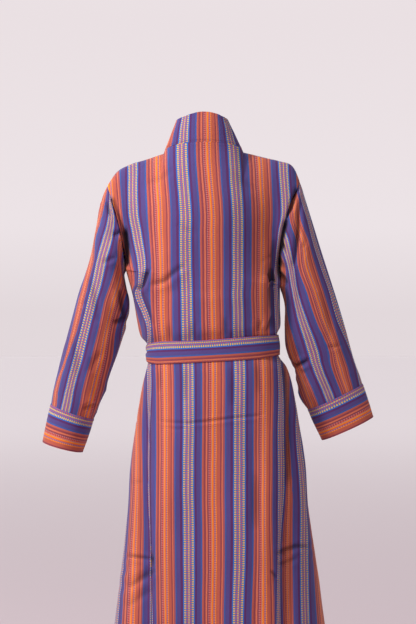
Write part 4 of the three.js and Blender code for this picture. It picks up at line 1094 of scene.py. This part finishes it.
# depth, width, swell, line of x, z on the side seen from behind
sleeveCreases = {
    1: [
        (-3.4, 5, 1.5, [(204, -212), (196, -206), (185, -202)]),
        (-2.4, 5, 1, [(230, -273), (213, -264), (197, -257)]),
        (-3.4, 4.5, 1.5, [(221, -130), (217, -148), (211, -168)]),
        (-6.0, 6, 2.5, [(188, -326), (184.5, -362), (177, -392), (188, -400), (208, -406)]),
        (-1.4, 4, 0.6, [(280, -362), (270, -366), (262, -365)]),
        (-2.6, 5, 1.2, [(238, -588), (252, -592), (272, -600)]),
        (-2.0, 9, 1.0, [(262, -300), (246, -352), (238, -410)]),
        (-1.8, 9, 0.8, [(300, -440), (286, -490), (282, -540)]),
        (-1.6, 7, 0.8, [(230, -470), (246, -492), (256, -520)]),
    ],
    -1: [
        (-5.5, 5, 2, [(-212, -96), (-204, -120), (-199, -138), (-194, -160)]),
        (-3.8, 5, 1.5, [(-216, -128), (-213, -160), (-212, -200), (-208, -238), (-203, -285)]),
        (-3.4, 5, 1.5, [(-168, -216), (-177, -234), (-184, -254)]),
        (-5.0, 6, 2, [(-164, -288), (-176, -304), (-187, -322)]),
        (-3.0, 6, 1.5, [(-166, -262), (-176, -276), (-186, -294)]),
        (-1.4, 4, 0.5, [(-218, -233), (-226, -231), (-232, -229)]),
        (-4.0, 5, 1.8, [(-190, -494), (-205, -503), (-222, -498), (-238, -488)]),
        (-2.2, 5, 1, [(-202, -508), (-216, -514), (-230, -520)]),
        (-1.6, 4, 0.8, [(-276, -462), (-297, -459), (-311, -454)]),
        (-1.8, 9, 0.8, [(-262, -330), (-278, -380), (-290, -440)]),
    ],
}


def tubeRings(sections, shares, sides, folds, extra=0.0):
    rows = len(sections["outX"]) - 1
    section = {name: spline(sections, name, shares * rows)[:, None] for name in sections}
    turn = np.arange(sides)[None, :] * 2 * np.pi / sides
    spanX, spanZ = section["outX"] - section["inX"], section["outZ"] - section["inZ"]
    length = np.hypot(spanX, spanZ)
    depth = 0
    for start, end, first, last, width, size in folds:
        along = np.clip((shares[:, None] - first) / (last - first), 0, 1)
        off = (np.degrees(turn) - mix(start, end, along) + 540) % 360 - 180
        depth = depth + size * np.sin(np.pi * along) * np.exp(-(off / width) ** 2)
    depth = depth + extra
    sine, cosine = np.sin(turn), np.cos(turn)
    reach = (length / 2 + depth) * cosine
    middleX, middleZ = (section["outX"] + section["inX"]) / 2, (section["outZ"] + section["inZ"]) / 2
    x = middleX + spanX / length * reach - np.sign(spanX) * section["bow"] * sine ** 2
    z = middleZ + spanZ / length * reach
    y = section["y"] + (np.where(sine > 0, section["back"], section["front"]) + depth) * sine
    return np.stack(np.broadcast_arrays(x, y, z), -1)


# the run round each ring, from the middle of the side seen from behind both ways to the seam
# under the arm, where the rings start
def sleeveRun(grid, side, seam):
    closedGrid = np.concatenate([grid, grid[:, :1]], 1)
    seen = warpAt(closedGrid, sleeveRepeats[side], sleeveLines[side])
    middle = grid.shape[1] - seam + grid.shape[1] // 4
    onwards = followTurn(closedGrid[:, middle:], seen[:, middle:], -1)
    backwards = followTurn(closedGrid[:, middle::-1], seen[:, middle::-1], 1)
    return np.concatenate([backwards[:, :0:-1], onwards], 1)


sleeveSizes = dict(length=560, around=380, endFade=14)
cuffSizes = dict(length=82, around=330)


def makeSleeve(side, name):
    sides = gridSizes["sleeveSides"]
    shares = (np.arange(gridSizes["sleeveRings"] + 1) / gridSizes["sleeveRings"]) ** 1.05
    grid = tuckIn(tubeRings(sleeveSections[side], shares, sides, sleeveFolds[side]))
    x, z = asSeen(grid)
    turn = np.degrees(np.arange(sides)[None, :] * 2 * np.pi / sides)
    behind = smooth(-0.1, 0.3, np.sin(np.radians(turn)))
    creases = 0
    for row in sleeveCreases[side]:
        creases = creases + creaseDepth(x, z, *row) * behind
        mirrored = [(px + 3, pz - 12) for px, pz in row[3]]
        creases = creases + creaseDepth(x, z, row[0] * 0.7, row[1] * 1.2, row[2], mirrored) * (1 - behind)
    length, endFade = sleeveSizes["length"], sleeveSizes["endFade"]
    along = shares[:, None] * length
    around = turn / 360 * sleeveSizes["around"]
    wavy = ripples(around, along, 70, 0.8, 31 + side) * np.sin(np.radians(turn / 2)) ** 0.5
    seamTuck = -3.5 * np.exp(-(along / 9) ** 2) * behind
    ends = smooth(0, endFade, along) * smooth(length, length - endFade, along)
    depth = (creases + wavy) * ends + seamTuck
    # painted shade in the sleeve's creases and tucks
    paintedShade = np.maximum(np.clip(-creases / 8 - 0.08, 0, 0.62) * ends, tuckShade(grid))
    seam = sides // 2 + 4
    grid, depth, paintedShade = (np.roll(part, -seam, 1) for part in (grid, depth, paintedShade))
    outer = outerFace(grid, -side, depth, closed=True)
    u = sleeveRun(outer, side, seam)
    v = np.broadcast_to(along / 1000, u.shape)
    bandMiddle = chartPlace(clothRepeat["dottedMiddle"])
    addCloth("sleeve_" + name, "sleeve", cuts["sleeve"], outer, -side, u / 1000 + bandMiddle, v, closed=True,
             paintedShade=paintedShade)


def makeCuff(side, name):
    sides = gridSizes["sleeveSides"]
    ends = sleeveSections[side]
    sections = {key: np.array([ends[key][-1], cuffEnds[side][key]], float) for key in ends}
    shares = np.arange(gridSizes["cuffRings"] + 1) / gridSizes["cuffRings"]
    grid = tubeRings(sections, shares, sides, [], 1.2)
    turn = np.arange(sides)[None, :] * 360 / sides
    reach = cuffSizes["length"]
    around = turn / 360 * cuffSizes["around"]
    depth = ripples(around, shares[:, None] * reach, 60, 0.6, 41 + side, stretch=1)
    depth = depth * np.sin(np.radians(turn / 2)) ** 0.5 * smooth(0, 0.15, shares)[:, None]
    depth = depth + 0.6 * np.sin(np.pi * shares)[:, None]
    down = np.broadcast_to(shares[:, None] * reach, (len(shares), sides + 1))
    # the stripes go round: dotted band at the sleeve, then violet, blue and the rust zone
    u = cuffStart + down / 1000
    v = np.broadcast_to(np.concatenate([around, [[cuffSizes["around"]]]], 1) / 1000, u.shape)
    outer = outerFace(grid, -side, depth, closed=True)
    addCloth("cuff_" + name, "cuff", cuts["cuff"], outer, -side, u, v, closed=True)
    return outer


for side, name in hands.items():
    makeSleeve(side, name)
cuffOuters = {side: makeCuff(side, name) for side, name in hands.items()}
print("sleeves and cuffs ready")

beltSizes = dict(clearance=1.2, knotWidth=62, knotHeight=58, knotDepth=34, seamGap=0.3,
                 endWidth=44, endTop=26, endLength=400, gather=80, spread=22, endClearance=4, width=50,
                 strapCloth=46)


def beltLift(x, z, middle):
    uncovered = frontEdgeX(1, middle, z) - bodyCut["bandWidth"]
    near = smooth(uncovered - bodyCut["overlapFar"], uncovered - bodyCut["overlapNear"], x)
    return np.minimum(layerLift(1, x, z, middle), bodyCut["overlapLift"] * near)


def beltPoint(level, degrees, out):
    ring = splineRow(bodyRings, level)
    flat = bodyPoint(level, degrees)
    z = np.broadcast_to(ringHeight(ring), flat.shape[:-1])
    lift = np.where(flat[..., 1] < 0, beltLift(flat[..., 0], z, ringMiddle(ring)), 0)
    return bodyPoint(level, degrees, lift + beltSizes["clearance"] + out)


def makeBelt():
    columns, rows = gridSizes["beltColumns"], gridSizes["beltRows"]
    degrees = (-180 + 360 * np.arange(columns) / columns)[None, :]
    share = (np.arange(rows + 1) / rows)[:, None]
    bottom, top = (beltPoint(np.full((1, 1), float(level)), degrees, 2.4) for level in beltRings)
    grid = bottom + (top - bottom) * share[..., None]
    # behind, its top edge rides up and its bottom edge sags a little. It is pinched at the left side.
    x, behindShare = grid[..., 0], smooth(0, 40, grid[..., 1])
    middle = smooth(-170, -110, x) * smooth(135, 100, x)
    grid[..., 2] += behindShare * share ** 2 * (2.3 * middle + 4 * np.exp(-((x - 92) / 50) ** 2))
    grid[..., 2] -= behindShare * (1 - share) ** 2 * 4 * middle
    grid[..., 2] -= (share - 0.4) * 9 * np.exp(-((degrees - 92) / 10) ** 2)
    run = lengthsAlong(np.concatenate([grid[rows // 2], grid[rows // 2, :1]]))
    # the belt cups a little, and folds lengthwise where it turns at the sides
    side = np.exp(-((np.abs(degrees) - 92) / 26) ** 2)
    leftSide = np.exp(-((degrees - 92) / 24) ** 2)
    depth = 0.9 * np.sin(np.pi * share) + side * 1.0 * np.sin(np.pi * share) ** 2
    depth = depth - leftSide * 3.6 * np.exp(-((share - 0.62) / 0.1) ** 2)
    waves = np.sin(run[:-1] / 23) * np.sin(run[:-1] / 61)
    depth = depth + 0.5 * np.sin(np.pi * share) * waves[None, :]
    v = np.broadcast_to(run[None, :] / 1000, (rows + 1, columns + 1))
    # top to bottom: half of the dotted band, plum, violet, blue, rust
    u = np.broadcast_to(beltStart + (1 - share) * beltSizes["width"] / 1000, (rows + 1, columns + 1))
    outer = outerFace(grid, -1, depth, closed=True)
    addCloth("belt_wrap", "belt", cuts["beltWrap"], outer, -1, u, v, closed=True)
    return outer


def knotPlace():
    points = [beltPoint(np.array(float(level)), np.array(180.0), 2.4) for level in beltRings]
    y = min(p[1] for p in points) - beltSizes["seamGap"] - beltSizes["knotDepth"] / 2
    return np.array([(points[0][0] + points[1][0]) / 2, y, (points[0][2] + points[1][2]) / 2])


knot = knotPlace()


# a strap swept along a line of points, with the way its outside faces at each of them
def sweepStrap(name, line, faceAway, width, thick, crown):
    along = unit(np.gradient(line, axis=0))
    acrossWay = unit(np.cross(along, unit(faceAway)))
    outward = unit(np.cross(acrossWay, along))
    share = np.linspace(-0.5, 0.5, gridSizes["strapColumns"] + 1)
    bulge = crown * (1 - (2 * share) ** 2)[None, :, None] * outward[:, None, :]
    outer = line[:, None, :] + acrossWay[:, None, :] * (share * width)[None, :, None] + bulge
    inner = outer - outward[:, None, :] * thick
    u = np.broadcast_to(beltStart + (share + 0.5) * beltSizes["strapCloth"] / 1000, outer.shape[:2])
    v = np.broadcast_to(lengthsAlong(line)[:, None] / 1000, outer.shape[:2])
    return meshFromGrids(name, outer, inner, u, v, flip=True)


def joinPieces(name, pieces):
    bpy.ops.object.select_all(action="DESELECT")
    for piece in pieces:
        piece.select_set(True)
    bpy.context.view_layer.objects.active = pieces[0]
    bpy.ops.object.join()
    pieces[0].name = name
    pieces[0].data.name = name
    return pieces[0]


def curvePoints(anchors, count):
    anchors = np.asarray(anchors, float)
    rows = {str(i): anchors[:, i] for i in range(anchors.shape[1])}
    position = np.linspace(0, len(anchors) - 1, count)
    return np.stack([spline(rows, str(i), position) for i in range(anchors.shape[1])], -1)


# a gathered core, a strap that goes over it and the two sides of the loop that crosses it
def makeKnot():
    rows, columns = 40, 72
    polar = np.linspace(-np.pi / 2 + 0.02, np.pi / 2 - 0.02, rows)[:, None]
    turn = np.linspace(0, 2 * np.pi, columns, endpoint=False)[None, :]
    size = np.array([beltSizes[key] for key in ("knotWidth", "knotDepth", "knotHeight")]) / 2 - [2, 3.5, 4]
    power = 2 / 2.7
    x = size[0] * signedPower(np.cos(polar), power) * signedPower(np.cos(turn), power)
    reach = np.where(np.sin(turn) > 0, beltSizes["knotDepth"] / 2 - 0.5, size[1])
    y = reach * signedPower(np.cos(polar), power) * signedPower(np.sin(turn), power)
    z = size[2] * signedPower(np.sin(polar), power) * np.ones_like(turn)
    pleat = 1 + 0.03 * np.sin(x / 3.4 + z / 9) + 0.02 * np.sin(z / 4.1 - x / 6)
    grid = np.stack([x * pleat, y * pleat, z], -1)
    around = np.broadcast_to(np.arange(columns + 1)[None, :] / columns * 0.15, (rows, columns + 1))
    up = np.broadcast_to(polar * 0.02, around.shape)
    pieces = [meshFromGrids("knot_core", grid + knot, grid * 0.6 + knot, around, up, closed=True)]
    hw, hd, hh = size + [1.5, 2.0, 2.0]
    over = [(-8, hd * 0.7, hh * 0.55), (-7, hd * 0.1, hh), (-5, -hd * 0.72, hh * 0.72), (-1, -hd * 1.02, 0),
            (4, -hd * 0.78, -hh * 0.7), (7, 0, -hh), (8, hd * 0.7, -hh * 0.5)]
    left = [(-hw * 0.9, hd * 0.3, 6), (-hw * 0.98, -hd * 0.4, 8), (-hw * 0.55, -hd * 0.86, 10),
            (-16, -hd, 10)]
    right = [(16, -hd, -10), (hw * 0.55, -hd * 0.86, -9), (hw * 0.98, -hd * 0.4, -7),
             (hw * 0.9, hd * 0.3, -6)]
    for name, anchors, count, facing, width, thick, crown in (
            ("knot_over", over, 60, (0.15, 1, 1), 30, 3.0, 2.2),
            ("knot_left", left, 26, (1, 1, 0.05), 36, 2.6, 1.6),
            ("knot_right", right, 26, (1, 1, 0.05), 36, 2.6, 1.6)):
        line = curvePoints(anchors, count)
        pieces.append(sweepStrap(name, line + knot, line * facing, width, thick, crown))
    piece = joinPieces("belt_knot_cloth", pieces)
    piece.data.materials.clear()
    dress(piece, "belt", "belt_knot")


def makeBeltEnd(side, name):
    rows, columns = 110, 12
    size = beltSizes
    run = (size["endLength"] * np.arange(rows + 1) / rows)[:, None]
    opening = smooth(0, size["gather"], run)
    width = mix(size["endTop"], size["endWidth"], opening)
    share = (np.arange(columns + 1) / columns)[None, :]
    centreX = side * (width / 2 + 1 + size["spread"] * run / size["endLength"])
    x = knot[0] + centreX + width * (share - 0.5)
    z = knot[2] - size["knotHeight"] / 2 - size["seamGap"] - run + 0 * x
    level = np.interp(z, fineHeights, fineLevels)
    ring = splineRow(bodyRings, level)
    skirt = bodyPoint(level, degreesAtX(level, x), layerLift(1, x, ringHeight(ring), ringMiddle(ring)))
    y = mix(knot[1] + 1.2, skirt[..., 1] - size["endClearance"], opening) - 2.4
    grid = np.stack(np.broadcast_arrays(x, y, z), -1)
    pleats = (1 - opening) * 2.2 * np.cos(4 * np.pi * (share - 0.5)) * smooth(0, 10, run)
    sway = 1.6 * np.sin(run / 55 + side) * opening + 0.8 * np.sin(run / 21 + share * 2) * opening
    cup = 0.8 * np.sin(np.pi * share)
    depth = pleats + sway + cup
    u = np.broadcast_to(beltStart + share * size["strapCloth"] / 1000, grid.shape[:2])
    v = np.broadcast_to(run / 1000, grid.shape[:2])
    outer = outerFace(grid[::-1], -1, depth[::-1])
    addCloth("belt_end_" + name, "belt", cuts["beltEnd"], outer, -1, u, v[::-1])
    return outer


beltOuter = makeBelt()
makeKnot()
endOuters = {side: makeBeltEnd(side, name) for side, name in hands.items()}
print("belt ready")

stitch = {"Spacing": 0.0036, "Stitch Length": 0.0026, "Thread Radius": 0.00028}
stitchLift = 0.25


def makeThread():
    material, shader, _ = newMaterial("plum thread")
    shader.inputs["Base Color"].default_value = linear((104, 58, 92))
    shader.inputs["Roughness"].default_value = 0.7
    return material


def makeStitchTree(thread):
    tree = bpy.data.node_groups.new("stitches along lines", "GeometryNodeTree")
    tree.interface.new_socket("Lines", in_out="INPUT", socket_type="NodeSocketGeometry")
    for label, size in stitch.items():
        tree.interface.new_socket(label, in_out="INPUT", socket_type="NodeSocketFloat").default_value = size
    tree.interface.new_socket("Stitches", in_out="OUTPUT", socket_type="NodeSocketGeometry")
    w = Wiring(tree)
    given, result = w.add("NodeGroupInput"), w.add("NodeGroupOutput")
    curves = w.add("GeometryNodeMeshToCurve")
    w.link(given.outputs["Lines"], curves.inputs["Mesh"])
    evenly = w.add("GeometryNodeResampleCurve", mode="LENGTH")
    w.link(curves.outputs[0], evenly.inputs["Curve"])
    w.link(given.outputs["Spacing"], evenly.inputs["Length"])
    bead = w.add("GeometryNodeMeshUVSphere")
    bead.inputs["Segments"].default_value = 5
    bead.inputs["Rings"].default_value = 3
    bead.inputs["Radius"].default_value = 1
    size = w.add("ShaderNodeCombineXYZ")
    w.link(given.outputs["Thread Radius"], size.inputs[0])
    w.link(given.outputs["Thread Radius"], size.inputs[1])
    w.link(w.math("MULTIPLY", given.outputs["Stitch Length"], 0.5), size.inputs[2])
    tangent = w.add("GeometryNodeInputTangent")
    turn = w.add("FunctionNodeAlignRotationToVector", axis="Z")
    w.link(tangent.outputs[0], turn.inputs["Vector"])
    placed = w.add("GeometryNodeInstanceOnPoints")
    w.link(evenly.outputs[0], placed.inputs["Points"])
    w.link(bead.outputs[0], placed.inputs["Instance"])
    w.link(turn.outputs[0], placed.inputs["Rotation"])
    w.link(size.outputs[0], placed.inputs["Scale"])
    real = w.add("GeometryNodeRealizeInstances")
    w.link(placed.outputs[0], real.inputs[0])
    dyed = w.add("GeometryNodeSetMaterial")
    dyed.inputs["Material"].default_value = thread
    w.link(real.outputs[0], dyed.inputs["Geometry"])
    w.link(dyed.outputs[0], result.inputs[0])
    return tree


stitchTree = makeStitchTree(makeThread())


# lines are rows of points in millimetres, each with True where it closes on itself
def makeStitches(name, lines):
    points, edges = [], []
    for line, closed in lines:
        first = len(points)
        points += (line / 1000).tolist()
        edges += [(first + i, first + i + 1) for i in range(len(line) - 1)]
        if closed:
            edges.append((first + len(line) - 1, first))
    mesh = bpy.data.meshes.new(name + "_lines")
    mesh.from_pydata(points, edges, [])
    made = addObject(name, mesh)
    modifier = made.modifiers.new("stitches", "NODES")
    modifier.node_group = stitchTree
    for item in stitchTree.interface.items_tree:
        if item.name in stitch:
            modifier[item.identifier] = stitch[item.name]
    bpy.context.view_layer.update()
    made.data = bpy.data.meshes.new_from_object(made.evaluated_get(bpy.context.evaluated_depsgraph_get()))
    made.data.name = name
    made.modifiers.clear()
    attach(made, "root")


def lifted(outer, facing, closed=False):
    return outer + gridNormals(outer, facing, closed) * stitchLift


hemRow = 4
backFace = lifted(backOuter, -1)
frontFaces = [lifted(frontOuters[side], -side) for side in hands]
makeStitches("hem_stitches", [(face[hemRow], False) for face in [backFace] + frontFaces])
collarFace = lifted(collarOuter, -1)
makeStitches("collar_stitches", [(collarFace[:, 1], False)])
for side, name in hands.items():
    cuffFace = lifted(cuffOuters[side], -side, closed=True)
    makeStitches("cuff_" + name + "_stitches", [(cuffFace[1], True), (cuffFace[-2], True)])
beltFace = lifted(beltOuter, -1, closed=True)
endFaces = [lifted(endOuters[side], -1) for side in hands]
makeStitches("belt_stitches", [(beltFace[1], True), (beltFace[-2], True)] + [
    (face[2:-26, column], False) for face in endFaces for column in (1, -2)])
print("sewing ready")

# in metres
studio = dict(floorZ=-1.42, floorReach=30, paleFrom=9.0, aimZ=-0.5)


def addFloor():
    mesh = bpy.data.meshes.new("floor")
    reach = studio["floorReach"]
    corners = ((-1, -1), (1, -1), (1, 1), (-1, 1))
    mesh.from_pydata([(x * reach, y * reach, studio["floorZ"]) for x, y in corners], [], [(0, 1, 2, 3)])
    floor = addObject("floor", mesh)
    # pale far off and darker about the garment: painted shade on the floor
    material, shader, w = newMaterial("pale floor")
    where = w.add("ShaderNodeTexCoord")
    distance = w.add("ShaderNodeVectorMath", operation="LENGTH")
    w.link(where.outputs["Object"], distance.inputs[0])
    far = w.math("DIVIDE", distance.outputs["Value"], studio["paleFrom"])
    shade = w.mixColour(w.math("SMOOTH_MIN", far, 1.0, 0.3), linear((188, 168, 176)), linear((243, 233, 237)))
    w.link(shade, shader.inputs["Base Color"])
    shader.inputs["Roughness"].default_value = 0.9
    floor.data.materials.append(material)


def addLight(name, place, size, power, colour):
    data = bpy.data.lights.new(name, "AREA")
    data.shape = "DISK"
    data.size = size
    data.energy = power
    data.color = colour
    lamp = addObject(name, data)
    lamp.location = place
    aim = np.array([0, 0, studio["aimZ"]]) - np.array(place)
    tilt = math.acos(-aim[2] / np.linalg.norm(aim))
    lamp.rotation_euler = (tilt, 0, math.atan2(aim[1], aim[0]) - math.pi / 2)


def addSun(name, strength, spread, turn):
    data = bpy.data.lights.new(name, "SUN")
    data.energy = strength
    data.angle = math.radians(spread)
    sun = addObject(name, data)
    sun.rotation_euler = (math.radians(turn[0]), 0, math.radians(turn[1]))


addFloor()
addLight("key", (1.8, 1.4, 1.05), 0.5, 60, (1.0, 0.98, 0.95))
addLight("fill", (-2.4, 2.6, 0.9), 2.4, 2, (0.96, 0.97, 1.0))
addSun("soft sun behind", 0.55, 25, (-42, -38))
addSun("soft sun in front", 1.5, 40, (50, 24))

# the sky is a little brighter overhead, and as bright as the far floor at the horizon. It lights
# the garment less than it shows.
skyColours = [(0.0, (226, 216, 219)), (0.06, (236, 227, 230)), (0.2, (234, 224, 227))]
skyStrength = dict(light=0.42, shown=1.0)


def makeSky():
    world = bpy.data.worlds.new("studio")
    world.use_nodes = True
    w = Wiring(world.node_tree)
    background = world.node_tree.nodes["Background"]
    parts = w.add("ShaderNodeSeparateXYZ")
    w.link(w.add("ShaderNodeTexCoord").outputs["Generated"], parts.inputs[0])
    shade = w.add("ShaderNodeValToRGB")
    elements = shade.color_ramp.elements
    for position, colour in skyColours:
        element = elements[0] if position == 0 else elements.new(position)
        element.position = position
        element.color = linear(colour)
    w.link(parts.outputs[2], shade.inputs[0])
    w.link(shade.outputs[0], background.inputs[0])
    extra = w.math("MULTIPLY", w.add("ShaderNodeLightPath").outputs["Is Camera Ray"],
                   skyStrength["shown"] - skyStrength["light"])
    w.link(w.math("ADD", skyStrength["light"], extra), background.inputs[1])
    bpy.context.scene.world = world


makeSky()
bpy.context.scene.view_settings.view_transform = "Standard"

print("studio ready")
